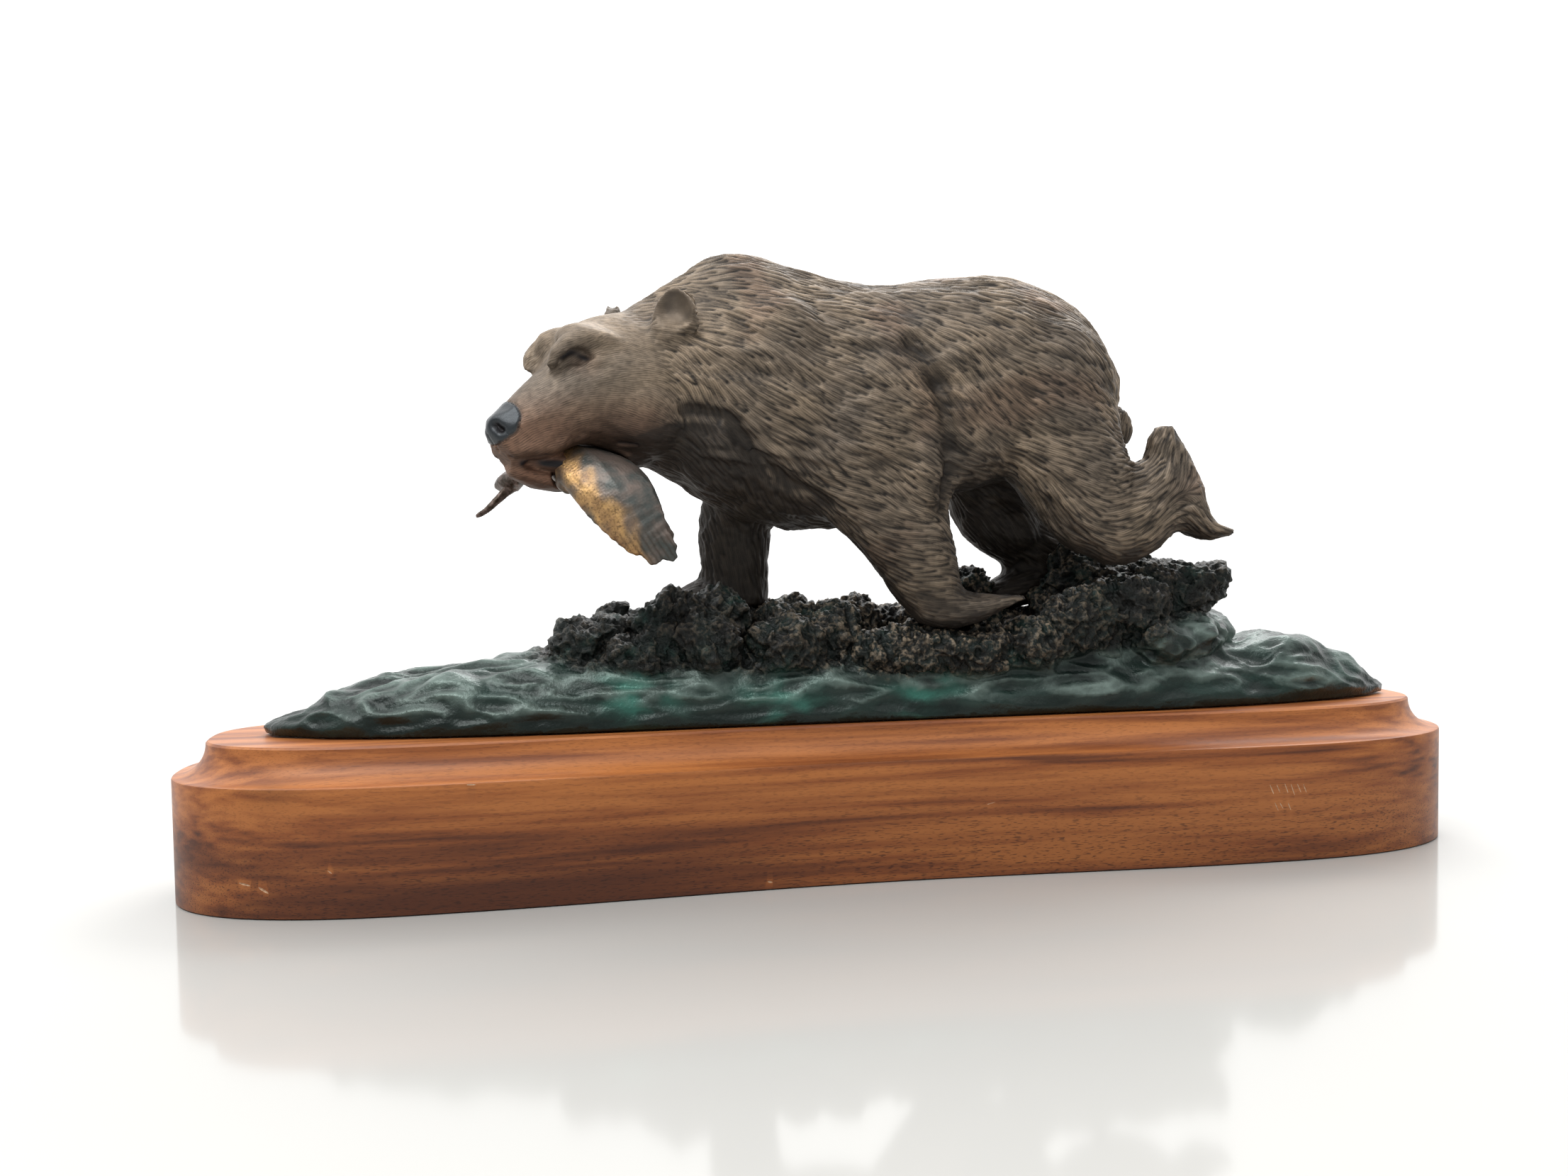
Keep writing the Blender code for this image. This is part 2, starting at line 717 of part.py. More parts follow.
def add_bank(bm):
    """The bed itself: a sheet over an oval outline, rising steeply from a thin edge, with ripples."""
    rings = []
    edge = GROUND_EDGE / GROUND_STEP
    for i in range(1, GROUND_COLUMNS):
        x = -GROUND_STEPS / 2 * cos(pi * i / GROUND_COLUMNS)
        reach = bank_depth(x)
        upper = []
        for j in range(GROUND_ROWS + 1):
            share = -cos(pi * j / GROUND_ROWS)
            across = share * GROUND_DEPTH / 2 / GROUND_STEP
            swell = Vector((x, across, 0)) / RIPPLE_LENGTH
            chop = Vector((x, across, RIPPLE_LENGTH)) / CHOP_LENGTH
            ripple = noise.noise(swell) * RIPPLE_DEPTH + noise.noise(chop) * CHOP_DEPTH
            height = bank_height(x, share)
            lift = min(height / 10, 1)
            upper.append(on_ground(x, share * reach, edge + height + ripple * lift))
        lower = [Vector((point.x, point.y * GROUND_FLARE, 0)) for point in reversed(upper)]
        rings.append(upper + lower)
    skin(bm, rings)


def boulder(bm, centre, radii, seed):
    """One rough rock, its surface broken by a fixed noise."""
    made = bmesh.ops.create_icosphere(bm, subdivisions=4, radius=1)["verts"]
    size = Vector(radii) * GROUND_STEP
    apart = Vector((7.3, 3.1, 5.7)) * seed
    for vert in made:
        place = vert.co * 1.5 + apart
        rough = 1 + ROCK_SWELL * noise.noise(place) + ROCK_CHIP * noise.noise(place * 2.7)
        vert.co = Vector([vert.co[k] * size[k] * rough for k in range(3)]) + centre


def add_rocks(bm):
    """Heaped rocks: seats under the paws first, then the heaps that show along the front."""
    seats = (
        ((-34, 14, 27.0), (21, 11, 9.0)),
        ((30, -16, 20.0), (20, 10, 7.6)),
        ((86, -13, 32.0), (14, 10, 10.0)),
        ((58, 15, 22.0), (19, 11, 8.5)),
    )
    for seed, (centre, radii) in enumerate(seats):
        boulder(bm, on_bear(*centre) - UP * GAP, radii, seed + 1)
    heaps = (
        (-87, -0.10, 22, 8, 9, 9),
        (-76, 0.10, 23, 10, 11, 10.5),
        (-70, -0.42, 18, 10, 8, 9),
        (-58, -0.20, 25, 12, 10, 12.5),
        (-49, -0.46, 22, 9, 8, 10),
        (-44, -0.05, 30, 8, 9, 10),
        (-26, -0.50, 22, 11, 8, 9),
        (-22, 0.05, 26, 10, 12, 9),
        (-10, -0.25, 25, 9, 9, 9),
        (0, 0.10, 26, 8, 9, 9),
        (6, -0.55, 20, 11, 7, 7),
        (14, 0.30, 24, 11, 10, 8),
        (40, 0.55, 30, 9, 9, 15),
        (30, 0.05, 22, 11, 9, 6),
        (50, -0.62, 20, 12, 7, 8),
        (64, -0.52, 26, 10, 8, 11),
        (76, -0.40, 25, 11, 8, 11),
        (84, 0.45, 26, 12, 10, 12),
        (73, 0.02, 38, 11, 8, 12),
        (92, -0.62, 20, 10, 7, 7),
        (104, -0.30, 20, 13, 10, 9),
        (113, 0.10, 22, 11, 10, 8),
    )
    for seed, (x, y, z, *radii) in enumerate(heaps):
        boulder(bm, on_ground(x, y, z), radii, seed + 11)


def add_log(bm):
    """The broken log that the bear steps over: its ragged end stands clear over the water."""
    limb(
        bm,
        [
            (60, 0.25, 28, 7.0, 9.0),
            (78, 0.05, 32, 8.4, 9.5),
            (92, -0.10, 34, 8.8, 9.5),
            (104, -0.18, 35.5, 8.8, 9.0),
            (110, -0.22, 36.6, 7.4, 8.4),
            (115, -0.25, 39.6, 4.6, 6.6),
            (118, -0.25, 42.0, 2.0, 4.0),
        ],
        on_ground,
    )
    for seed, (x, z) in enumerate(((92, 40), (102, 38), (110, 36), (82, 37))):
        boulder(bm, on_ground(x, -0.15, z), (8, 9, 6), seed + 51)


def build_ground(group, look):
    """The stream bed as one cast body with a flat underside."""
    bm = bmesh.new()
    add_bank(bm)
    add_rocks(bm)
    add_log(bm)
    ground = object_from(bm, "rock_and_water_ground", group)
    mesh = melted(ground, VOXEL, 1)
    for vert in mesh.vertices:
        if vert.co.z < VOXEL * 0.8:
            vert.co.z = 0
    thinned(ground, GROUND_TRIANGLES)
    for vert in ground.data.vertices:
        vert.co.z = max(vert.co.z, 0)
    finish(ground, look)
    ground.location.z = PLINTH_HEIGHT + GAP
    return ground


def main():
    """Builds the four pieces and cuts each seat from its neighbour."""
    clear_scene()
    parts = collection("bear_with_salmon")
    cutters = collection("cutters", hidden=True)
    fur = material("brown_bronze", (0.165, 0.125, 0.095), 0.46, 0.75)
    fish = material("golden_bronze", (0.42, 0.27, 0.11), 0.42, 0.8)
    stream = material("green_bronze", (0.035, 0.085, 0.075), 0.38, 0.7)
    walnut = material("walnut", (0.30, 0.105, 0.035), 0.34, 0.0)
    build_plinth(parts, walnut)
    ground = build_ground(parts, stream)
    bear = build_bear(parts, fur)
    salmon = build_salmon(parts, fish)
    cut_seat(ground, bear, cutters)
    cut_seat(bear, salmon, cutters)


if __name__ == "__main__":
    main()
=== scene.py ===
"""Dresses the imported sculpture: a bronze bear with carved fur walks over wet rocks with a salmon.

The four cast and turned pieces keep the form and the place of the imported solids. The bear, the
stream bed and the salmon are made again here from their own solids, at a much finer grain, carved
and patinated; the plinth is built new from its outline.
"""

import logging
from dataclasses import dataclass, field
from enum import Enum
from math import cos, pi, radians, sin

import bpy
import numpy as np
from mathutils import Matrix, Vector, noise
from mathutils.kdtree import KDTree


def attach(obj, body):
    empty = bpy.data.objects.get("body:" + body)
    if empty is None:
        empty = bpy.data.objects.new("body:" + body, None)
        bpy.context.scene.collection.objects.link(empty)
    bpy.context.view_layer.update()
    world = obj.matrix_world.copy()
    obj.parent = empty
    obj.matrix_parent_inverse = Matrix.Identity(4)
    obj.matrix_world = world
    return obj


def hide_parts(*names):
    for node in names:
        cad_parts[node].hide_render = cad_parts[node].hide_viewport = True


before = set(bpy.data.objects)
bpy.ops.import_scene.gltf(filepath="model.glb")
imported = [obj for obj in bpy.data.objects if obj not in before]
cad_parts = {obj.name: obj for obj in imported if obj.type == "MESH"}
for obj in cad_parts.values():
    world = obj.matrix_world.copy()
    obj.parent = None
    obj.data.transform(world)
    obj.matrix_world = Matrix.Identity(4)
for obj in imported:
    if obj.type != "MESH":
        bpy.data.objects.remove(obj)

LOG = logging.getLogger("bear_sculpture")
MM = 0.001
TOP = 44.5
HEAD_TURN = radians(27)
HEAD_JOINT = (-58.0, -3.0)
GRID_TURN = radians(32)
SIDES = (1, -1)

Points = np.ndarray


class Piece(Enum):
    """The pieces that stand on the table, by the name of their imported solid."""

    PLINTH = "walnut_plinth"
    GROUND = "rock_and_water_ground"
    BEAR = "bear"
    SALMON = "salmon"


class Slot(Enum):
    """The record's material slots."""

    WALNUT = "walnut"
    GREEN = "green_bronze"
    BROWN = "brown_bronze"
    GOLDEN = "golden_bronze"


def deselect_all() -> None:
    """Leaves nothing selected."""
    bpy.ops.object.select_all(action="DESELECT")


def make_active(thing: bpy.types.Object) -> None:
    """Selects one object alone and makes it active.

    Args:
        thing: the object to work on.
    """
    deselect_all()
    thing.select_set(True)
    bpy.context.view_layer.objects.active = thing


def apply_modifier(thing: bpy.types.Object, kind: str, **settings: object) -> None:
    """Adds a modifier and applies it.

    Args:
        thing: the object that it changes.
        kind: the modifier's type.
        **settings: its values by name.
    """
    make_active(thing)
    modifier = thing.modifiers.new(kind.title(), kind)
    for name, value in settings.items():
        setattr(modifier, name, value)
    bpy.ops.object.modifier_apply(modifier=modifier.name)


def on_head(along: float, side: float, height: float) -> tuple[float, float, float]:
    """A place on the turned head, in millimetres over the plinth's top.

    Args:
        along: how far forwards of the neck joint, along the nose line.
        side: how far to the bear's own left.
        height: how high over the plinth's top.

    Returns:
        The place in the sculpture's frame, in millimetres.
    """
    x = HEAD_JOINT[0] - along * cos(HEAD_TURN) + side * sin(HEAD_TURN)
    y = HEAD_JOINT[1] - along * sin(HEAD_TURN) - side * cos(HEAD_TURN)
    return (x, y, height + TOP)


def forwards(places: Points) -> Points:
    """How far forwards of the neck joint each place lies, along the nose line, in millimetres."""
    x, y = places[:, 0] - HEAD_JOINT[0], places[:, 1] - HEAD_JOINT[1]
    return -x * cos(HEAD_TURN) - y * sin(HEAD_TURN)


def ramp(values: Points, low: float, high: float) -> Points:
    """Smooth steps from 0 at low to 1 at high.

    Args:
        values: any numbers.
        low: where the step starts.
        high: where it ends.

    Returns:
        The steps, as many as the values.
    """
    share = np.clip((values - low) / (high - low), 0, 1)
    return share * share * (3 - 2 * share)


def noise_at(places: Points, scale: float, seed: float = 0.0) -> Points:
    """Gradient noise at many places.

    Args:
        places: the places, one a row, in millimetres.
        scale: the size of its swells, in millimetres; one number or one for each axis.
        seed: an offset that makes it another noise.

    Returns:
        One value a place, between about -1 and 1.
    """
    rows = (places / np.array(scale) + seed).tolist()
    return np.array([noise.noise(row) for row in rows])


@dataclass
class Clay:
    """A mesh while it is being carved: its points and normals, in millimetres."""

    thing: bpy.types.Object
    points: Points = field(init=False)
    normals: Points = field(init=False)
    links: tuple = field(init=False, default=None)

    def __post_init__(self) -> None:
        """Reads the mesh."""
        self.read()

    def read(self) -> None:
        """Reads the points and normals from the object."""
        mesh = self.thing.data
        count = len(mesh.vertices)
        places = np.empty(count * 3, np.float32)
        mesh.vertices.foreach_get("co", places)
        self.points = places.reshape(-1, 3).astype(float) / MM
        normals = np.empty(count * 3, np.float32)
        mesh.vertices.foreach_get("normal", normals)
        self.normals = normals.reshape(-1, 3).astype(float)

    def write(self) -> None:
        """Gives the object the carved points."""
        mesh = self.thing.data
        mesh.vertices.foreach_set("co", (self.points * MM).astype(np.float32).ravel())
        mesh.update()

    def raise_by(self, amounts: Points) -> None:
        """Moves each point out along its normal.

        Args:
            amounts: millimetres, one a point.
        """
        self.points = self.points + self.normals * amounts[:, None]

    def push(self, amounts: Points) -> None:
        """Moves the points out along their normals and reads the new normals.

        Args:
            amounts: millimetres, one a point.
        """
        self.raise_by(amounts)
        self.write()
        self.read()

    def near(self, place: tuple[float, float, float], radius: float) -> Points:
        """A soft spot round a place: 1 there, and almost 0 past the radius.

        Args:
            place: its middle, in millimetres.
            radius: its radius, in millimetres.

        Returns:
            One share a point.
        """
        away = np.linalg.norm(self.points - self.settled(place), axis=1) / radius
        return np.exp(-((away * 1.5) ** 2))

    def settled(self, place: tuple[float, float, float]) -> Points:
        """The point of the surface that is nearest to a place."""
        return self.points[np.argmin(np.sum((self.points - np.array(place)) ** 2, axis=1))]

    def line(self, path: list[tuple[float, float, float]], width: float) -> Points:
        """A soft stroke along a path: 1 on it, and almost 0 past its width.

        Args:
            path: its corners, in millimetres.
            width: half the stroke's width, in millimetres.

        Returns:
            One share a point.
        """
        best = np.full(len(self.points), 1e9)
        corners = [self.settled(place) for place in path]
        for first, end in zip(corners, corners[1:]):
            run = end - first
            share = np.clip((self.points - first) @ run / (run @ run + 1e-9), 0, 1)
            away = np.linalg.norm(self.points - first - share[:, None] * run, axis=1)
            best = np.minimum(best, away)
        return np.exp(-((best / width * 1.5) ** 2))

    def relax(self, rounds: int, give: float = 0.5, back: float = -0.52) -> None:
        """Smooths away the facets and keeps the volume: a step in, then a step out.

        Args:
            rounds: how many pairs of steps.
            give: the share of the step in.
            back: the share of the step out.
        """
        for _ in range(rounds):
            for share in (give, back):
                self.points = self.points + share * (self.averaged(self.points) - self.points)
        self.write()
        self.read()

    def soften(self, where: Points, rounds: int) -> None:
        """Smooths some places fully.

        Args:
            where: how much each point gives way, 0 to 1.
            rounds: how many steps.
        """
        for _ in range(rounds):
            self.points = self.points + 0.5 * where[:, None] * (self.averaged(self.points) - self.points)
        self.write()
        self.read()

    def averaged(self, values: Points) -> Points:
        """The mean of each point's neighbours.

        Args:
            values: one number or one row a point.

        Returns:
            The means, in the same shape.
        """
        if self.links is None:
            ends = np.empty(len(self.thing.data.edges) * 2, np.int32)
            self.thing.data.edges.foreach_get("vertices", ends)
            first, second = ends[0::2], ends[1::2]
            self.links = (np.concatenate([first, second]), np.concatenate([second, first]))
        here, there = self.links
        count = len(values)
        columns = values.reshape(count, -1)
        total = np.stack([np.bincount(here, column[there], count) for column in columns.T], axis=1)
        return (total / np.bincount(here, minlength=count)[:, None]).reshape(values.shape)

    def paint(self, name: str, values: Points) -> None:
        """Keeps one value or direction a point as an attribute that a finish reads.

        Args:
            name: the attribute's name.
            values: one number or three numbers a point.
        """
        kind, field_name = ("FLOAT", "value") if values.ndim == 1 else ("FLOAT_VECTOR", "vector")
        made = self.thing.data.attributes.new(name, kind, "POINT")
        made.data.foreach_set(field_name, values.astype(np.float32).ravel())


def fine_copy(node: bpy.types.Object, name: str, grain: float, rounds: int,
              extras: tuple = ()) -> bpy.types.Object:
    """A fine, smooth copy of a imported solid, to be carved.

    Args:
        node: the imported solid.
        name: the copy's name.
        grain: its mesh's spacing, in millimetres.
        rounds: how often it is smoothed.
        extras: forms that are melted into it.

    Returns:
        The copy.
    """
    made = bpy.data.objects.new(name, node.data.copy())
    bpy.context.scene.collection.objects.link(made)
    made.data.materials.clear()
    make_active(made)
    bpy.ops.object.mode_set(mode="EDIT")
    bpy.ops.mesh.select_all(action="SELECT")
    bpy.ops.mesh.remove_doubles(threshold=0.000005)
    bpy.ops.object.mode_set(mode="OBJECT")
    for extra in extras:
        extra.select_set(True)
    if extras:
        bpy.ops.object.join()
    made.data.transform(Matrix.Rotation(-GRID_TURN, 4, "Y"))
    apply_modifier(made, "REMESH", mode="VOXEL", voxel_size=grain * MM)
    made.data.transform(Matrix.Rotation(GRID_TURN, 4, "Y"))
    apply_modifier(made, "SMOOTH", factor=0.5, iterations=4)
    Clay(made).relax(rounds)
    return made


def thin_out(thing: bpy.types.Object, triangles: int) -> None:
    """Leaves about so many triangles, most of them where the carving is.

    Args:
        thing: the object.
        triangles: how many triangles stay.
    """
    faces = 2 * len(thing.data.polygons)
    if faces > triangles:
        apply_modifier(thing, "DECIMATE", ratio=triangles / faces, use_collapse_triangulate=True)


def tree_of(points: Points) -> KDTree:
    """A tree that finds the points near a place.

    Args:
        points: the points, one a row.

    Returns:
        The tree, whose entries are the points' rows.
    """
    tree = KDTree(len(points))
    for index, place in enumerate(points.tolist()):
        tree.insert(place, index)
    tree.balance()
    return tree


def finished(clay: Clay, triangles: int, coats: dict[str, Points],
             finish: bpy.types.Material) -> bpy.types.Object:
    """Thins a carved mesh, gives it its coats and dresses it.

    Args:
        clay: the carved mesh.
        triangles: how many triangles stay.
        coats: the painted values by name, for the mesh before it is thinned.
        finish: its finish.

    Returns:
        The finished piece.
    """
    tree = tree_of(clay.points)
    thin_out(clay.thing, triangles)
    clay.read()
    nearest = np.array([tree.find(place)[1] for place in clay.points.tolist()])
    for name, values in coats.items():
        clay.paint(name, values[nearest])
    clay.thing.data.materials.append(finish)
    clay.thing.data.shade_smooth()
    return clay.thing


def dealt_out(whole: bpy.types.Object, names: list[str]) -> list[bpy.types.Object]:
    """Deals a fine mesh out to several pieces from left to right, with the same normals at the cuts.

    Args:
        whole: the carved mesh, all of quads; it is removed.
        names: one name a piece.

    Returns:
        The pieces.
    """
    clay = Clay(whole)
    mesh = whole.data
    count = len(clay.points)
    numbers = mesh.attributes.new("origin", "INT", "POINT")
    numbers.data.foreach_set("value", np.arange(count, dtype=np.int32))
    corners = np.empty(len(mesh.loops), np.int32)
    mesh.loops.foreach_get("vertex_index", corners)
    middle = clay.points[corners.reshape(-1, 4), 0].mean(axis=1)
    cuts = np.quantile(middle, np.linspace(0, 1, len(names) + 1))
    cuts[0], cuts[-1] = -1e9, 1e9
    pieces = []
    for name, low, high in zip(names, cuts, cuts[1:]):
        piece = bpy.data.objects.new(name, mesh.copy())
        bpy.context.scene.collection.objects.link(piece)
        make_active(piece)
        bpy.ops.object.mode_set(mode="EDIT")
        bpy.ops.mesh.select_mode(type="FACE")
        bpy.ops.mesh.select_all(action="DESELECT")
        bpy.ops.object.mode_set(mode="OBJECT")
        piece.data.polygons.foreach_set("select", (middle < low) | (middle >= high))
        bpy.ops.object.mode_set(mode="EDIT")
        bpy.ops.mesh.delete(type="FACE")
        bpy.ops.object.mode_set(mode="OBJECT")
        origin = np.empty(len(piece.data.vertices), np.int32)
        piece.data.attributes["origin"].data.foreach_get("value", origin)
        piece.data.attributes.remove(piece.data.attributes["origin"])
        piece.data.shade_smooth()
        piece.data.normals_split_custom_set_from_vertices(clay.normals[origin].tolist())
        pieces.append(piece)
    bpy.data.objects.remove(whole)
    return pieces


class Surface:
    """Builds the nodes of one finish."""

    def __init__(self, name: str) -> None:
        """Starts a finish.

        Args:
            name: its name.
        """
        self.material = bpy.data.materials.new(name)
        self.material.use_nodes = True
        self.tree = self.material.node_tree
        self.shader = self.tree.nodes["Principled BSDF"]
        self.place = self.tree.nodes.new("ShaderNodeTexCoord").outputs["Object"]

    def set(self, **values: object) -> None:
        """Sets sockets of the shader that are the same all over.

        Args:
            **values: values by socket name, with underscores for spaces.
        """
        for name, value in values.items():
            self.shader.inputs[name.replace("_", " ")].default_value = value

    def link(self, source: bpy.types.NodeSocket, socket: str) -> None:
        """Links a value to one of the shader's sockets."""
        self.tree.links.new(source, self.shader.inputs[socket])

    def scaled(self, scale: tuple[float, float, float]) -> bpy.types.NodeSocket:
        """Object coordinates, stretched.

        Args:
            scale: how much on each axis.

        Returns:
            The stretched coordinates.
        """
        node = self.tree.nodes.new("ShaderNodeMapping")
        node.inputs["Scale"].default_value = scale
        self.tree.links.new(self.place, node.inputs["Vector"])
        return node.outputs["Vector"]

    def noise(self, size: float, detail: float = 3.0, stretch: tuple = (1, 1, 1),
              distortion: float = 0.0) -> bpy.types.NodeSocket:
        """A cloud pattern.

        Args:
            size: the size of its clouds, in millimetres.
            detail: how many finer layers it has.
            stretch: how much finer it is on each axis.
            distortion: how much it swirls.

        Returns:
            Its value, about 0.5 in the middle.
        """
        node = self.tree.nodes.new("ShaderNodeTexNoise")
        node.inputs["Scale"].default_value = 1 / (size * MM)
        node.inputs["Detail"].default_value = detail
        node.inputs["Distortion"].default_value = distortion
        self.tree.links.new(self.scaled(stretch), node.inputs["Vector"])
        return node.outputs["Fac"]

    def cells(self, size: float) -> bpy.types.NodeSocket:
        """A cell pattern.

        Args:
            size: the size of a cell, in millimetres.

        Returns:
            How far each place is from its cell's middle.
        """
        node = self.tree.nodes.new("ShaderNodeTexVoronoi")
        node.inputs["Scale"].default_value = 1 / (size * MM)
        self.tree.links.new(self.place, node.inputs["Vector"])
        return node.outputs["Distance"]

    def coat(self, name: str, output: str = "Fac") -> bpy.types.NodeSocket:
        """The value that was painted on the mesh under a name."""
        node = self.tree.nodes.new("ShaderNodeAttribute")
        node.attribute_name = name
        return node.outputs[output]

    def hairs(self, spacing: float, across: bpy.types.NodeSocket) -> bpy.types.NodeSocket:
        """Fine parallel lines, each set turned to the lie of the coat.

        Args:
            spacing: from line to line, in millimetres.
            across: the direction from line to line.

        Returns:
            Its value, about 0.5 in the middle.
        """
        node = self.tree.nodes.new("ShaderNodeTexGabor")
        node.gabor_type = "3D"
        cell = 3.2 * spacing
        node.inputs["Scale"].default_value = 1 / (cell * MM)
        node.inputs["Frequency"].default_value = cell / spacing
        node.inputs["Anisotropy"].default_value = 1.0
        self.tree.links.new(self.place, node.inputs["Vector"])
        self.tree.links.new(across, node.inputs["Orientation"])
        return node.outputs["Value"]

    def steps(self, value: bpy.types.NodeSocket, stops: list[tuple]) -> bpy.types.NodeSocket:
        """Colours or greys along a value.

        Args:
            value: what is read.
            stops: (place, colour) each, the colour a grey or three numbers.

        Returns:
            The colour.
        """
        node = self.tree.nodes.new("ShaderNodeValToRGB")
        points = node.color_ramp.elements
        while len(points) < len(stops):
            points.new(0.5)
        for point, (place, colour) in zip(points, stops):
            tint = (colour,) * 3 if isinstance(colour, (int, float)) else colour
            point.position = place
            point.color = (*tint, 1.0)
        self.tree.links.new(value, node.inputs["Fac"])
        return node.outputs["Color"]

    def mix(self, share: object, first: object, second: object,
            blend: str = "MIX") -> bpy.types.NodeSocket:
        """Mixes two colours.

        Args:
            share: how much of the second, a number or a socket.
            first: a colour or a socket.
            second: a colour or a socket.
            blend: how they are mixed.

        Returns:
            The mixed colour.
        """
        node = self.tree.nodes.new("ShaderNodeMix")
        node.data_type = "RGBA"
        node.blend_type = blend
        for socket, value in (("Factor", share), ("A", first), ("B", second)):
            target = next(i for i in node.inputs if i.name == socket and i.enabled)
            if isinstance(value, bpy.types.NodeSocket):
                self.tree.links.new(value, target)
            elif isinstance(value, tuple):
                target.default_value = (*value, 1.0)
            else:
                target.default_value = value
        return next(o for o in node.outputs if o.enabled)

    def sum(self, first: object, second: object, operation: str = "ADD") -> bpy.types.NodeSocket:
        """Joins two values by a sum or another operation.

        Args:
            first: a number or a socket.
            second: a number or a socket.
            operation: the operation's name.

        Returns:
            The result.
        """
        node = self.tree.nodes.new("ShaderNodeMath")
        node.operation = operation
        for socket, value in zip(node.inputs, (first, second)):
            if isinstance(value, bpy.types.NodeSocket):
                self.tree.links.new(value, socket)
            else:
                socket.default_value = value
        return node.outputs[0]

    def bump(self, height: bpy.types.NodeSocket, depth: float) -> None:
        """Small relief in the finish.

        Args:
            height: the relief, 0 to 1.
            depth: its depth, in millimetres.
        """
        node = self.tree.nodes.new("ShaderNodeBump")
        node.inputs["Distance"].default_value = depth * MM
        self.tree.links.new(height, node.inputs["Height"])
        self.link(node.outputs["Normal"], "Normal")


@dataclass(frozen=True)
class BrownBronze:
    """The bear's patina: grey-brown ridges, almost black grooves, warmer on the muzzle; with painted shade
    under the body, in its folds and in the face's hollows.
    """

    ridge: tuple = (0.235, 0.188, 0.144)
    tan: tuple = (0.38, 0.29, 0.20)
    # groove: the patina's near-black in the strokes, and also the colour of the painted shade
    groove: tuple = (0.014, 0.011, 0.009)
    warm: tuple = (0.24, 0.125, 0.078)
    pad: tuple = (0.034, 0.040, 0.045)
    # hollow: near-black painted shade in the eye sockets, nostrils, mouth and ear cups
    hollow: tuple = (0.012, 0.010, 0.012)
    metallic: float = 0.45

    def make(self) -> bpy.types.Material:
        """Builds the material."""
        look = Surface("brown_patina")
        cloud = look.noise(26, 4)
        colour = look.steps(cloud, [(0.36, self.ridge), (0.66, self.tan)])
        speck = look.noise(3.2, 5)
        colour = look.mix(look.steps(speck, [(0.35, 0.0), (0.75, 0.35)]), colour, self.groove)
        colour = look.mix(look.coat("warm"), colour, self.warm)
        across = look.coat("across", "Vector")
        bare = look.sum(1.0, look.coat("smooth"), "SUBTRACT")
        line = look.steps(look.hairs(0.62, across), [(0.28, 1.0), (0.54, 0.0)])
        fine = look.sum(look.sum(line, bare, "MULTIPLY"), 0.58, "MULTIPLY")
        colour = look.mix(fine, colour, self.groove)
        deep = look.steps(look.coat("groove"), [(0.14, 0.0), (0.66, 0.96)])
        colour = look.mix(deep, colour, self.groove)
        # painted shade: the shade coat darkens the colour towards the groove colour
        colour = look.mix(look.steps(look.coat("shade"), [(0.0, 0.0), (1.0, 0.95)]), colour, self.groove)
        colour = look.mix(look.coat("pad"), colour, self.pad)
        # painted shade in the eye sockets, nostrils, mouth and ear cups
        colour = look.mix(look.coat("hollow"), colour, self.hollow)
        look.link(colour, "Base Color")
        rough = look.steps(look.coat("pad"), [(0.0, 0.60), (1.0, 0.34)])
        look.link(look.mix(0.12, rough, speck), "Roughness")
        look.set(Metallic=self.metallic)
        look.bump(look.noise(0.6, 3), 0.06)
        return look.material


@dataclass(frozen=True)
class GreenBronze:
    """The stream bed's patina: green-black rock with tan high spots, stronger on upward faces as painted
    highlight, and turquoise in the water; painted highlights on the water's crests, painted shade in its
    troughs and in the rocks' crevices.
    """

    rock: tuple = (0.007, 0.008, 0.007)
    moss: tuple = (0.014, 0.038, 0.031)
    # spot: the tan of rubbed high spots, partly painted highlight where they face up
    spot: tuple = (0.30, 0.235, 0.165)
    # deep: a dark water tone, also the painted shade in the water's troughs
    deep: tuple = (0.007, 0.014, 0.012)
    water: tuple = (0.022, 0.036, 0.031)
    # pale: the painted highlight on the water's crests
    pale: tuple = (0.24, 0.32, 0.285)
    turquoise: tuple = (0.045, 0.19, 0.145)
    metallic: float = 0.25

    def make(self) -> bpy.types.Material:
        """Builds the material."""
        look = Surface("green_patina")
        cloud = look.noise(13, 5, (0.45, 1, 1.3), 0.5)
        water = look.steps(cloud, [(0.36, self.deep), (0.52, self.water), (0.70, self.moss)])
        height = look.coat("height")
        water = look.mix(look.sum(look.coat("bright"), 0.75, "MULTIPLY"), water, self.turquoise)
        # painted shade in the water's troughs
        water = look.mix(look.steps(height, [(0.30, 0.9), (0.55, 0.0)]), water, self.deep)
        # painted highlight on the water's crests
        crest = look.sum(look.steps(height, [(0.64, 0.0), (0.90, 1.0)]), look.noise(8, 3), "MULTIPLY")
        water = look.mix(crest, water, self.pale)
        rock = look.steps(look.noise(8, 5), [(0.42, self.rock), (0.60, self.deep), (0.70, self.moss)])
        # painted shade in the rocks' crevices
        rock = look.mix(look.steps(height, [(0.25, 0.8), (0.5, 0.0)]), rock, self.rock)
        fleck = look.steps(look.noise(1.3, 4), [(0.44, 0.0), (0.60, 1.0)])
        # tan high spots: rubbed high spots, plus painted highlight on faces that turn up
        rock = look.mix(look.sum(look.coat("tan"), fleck, "MULTIPLY"), rock, self.spot)
        colour = look.mix(look.coat("rock"), water, rock)
        look.link(colour, "Base Color")
        rough = look.mix(look.coat("rock"), (0.30,) * 3, (0.44,) * 3)
        look.link(rough, "Roughness")
        look.set(Metallic=self.metallic, Specular_IOR_Level=0.3, Coat_Weight=0.08, Coat_Roughness=0.14)
        stony = look.steps(look.coat("rock"), [(0.0, 0.25), (1.0, 1.0)])
        look.bump(look.sum(look.noise(0.9, 4), stony, "MULTIPLY"), 0.8)
        return look.material


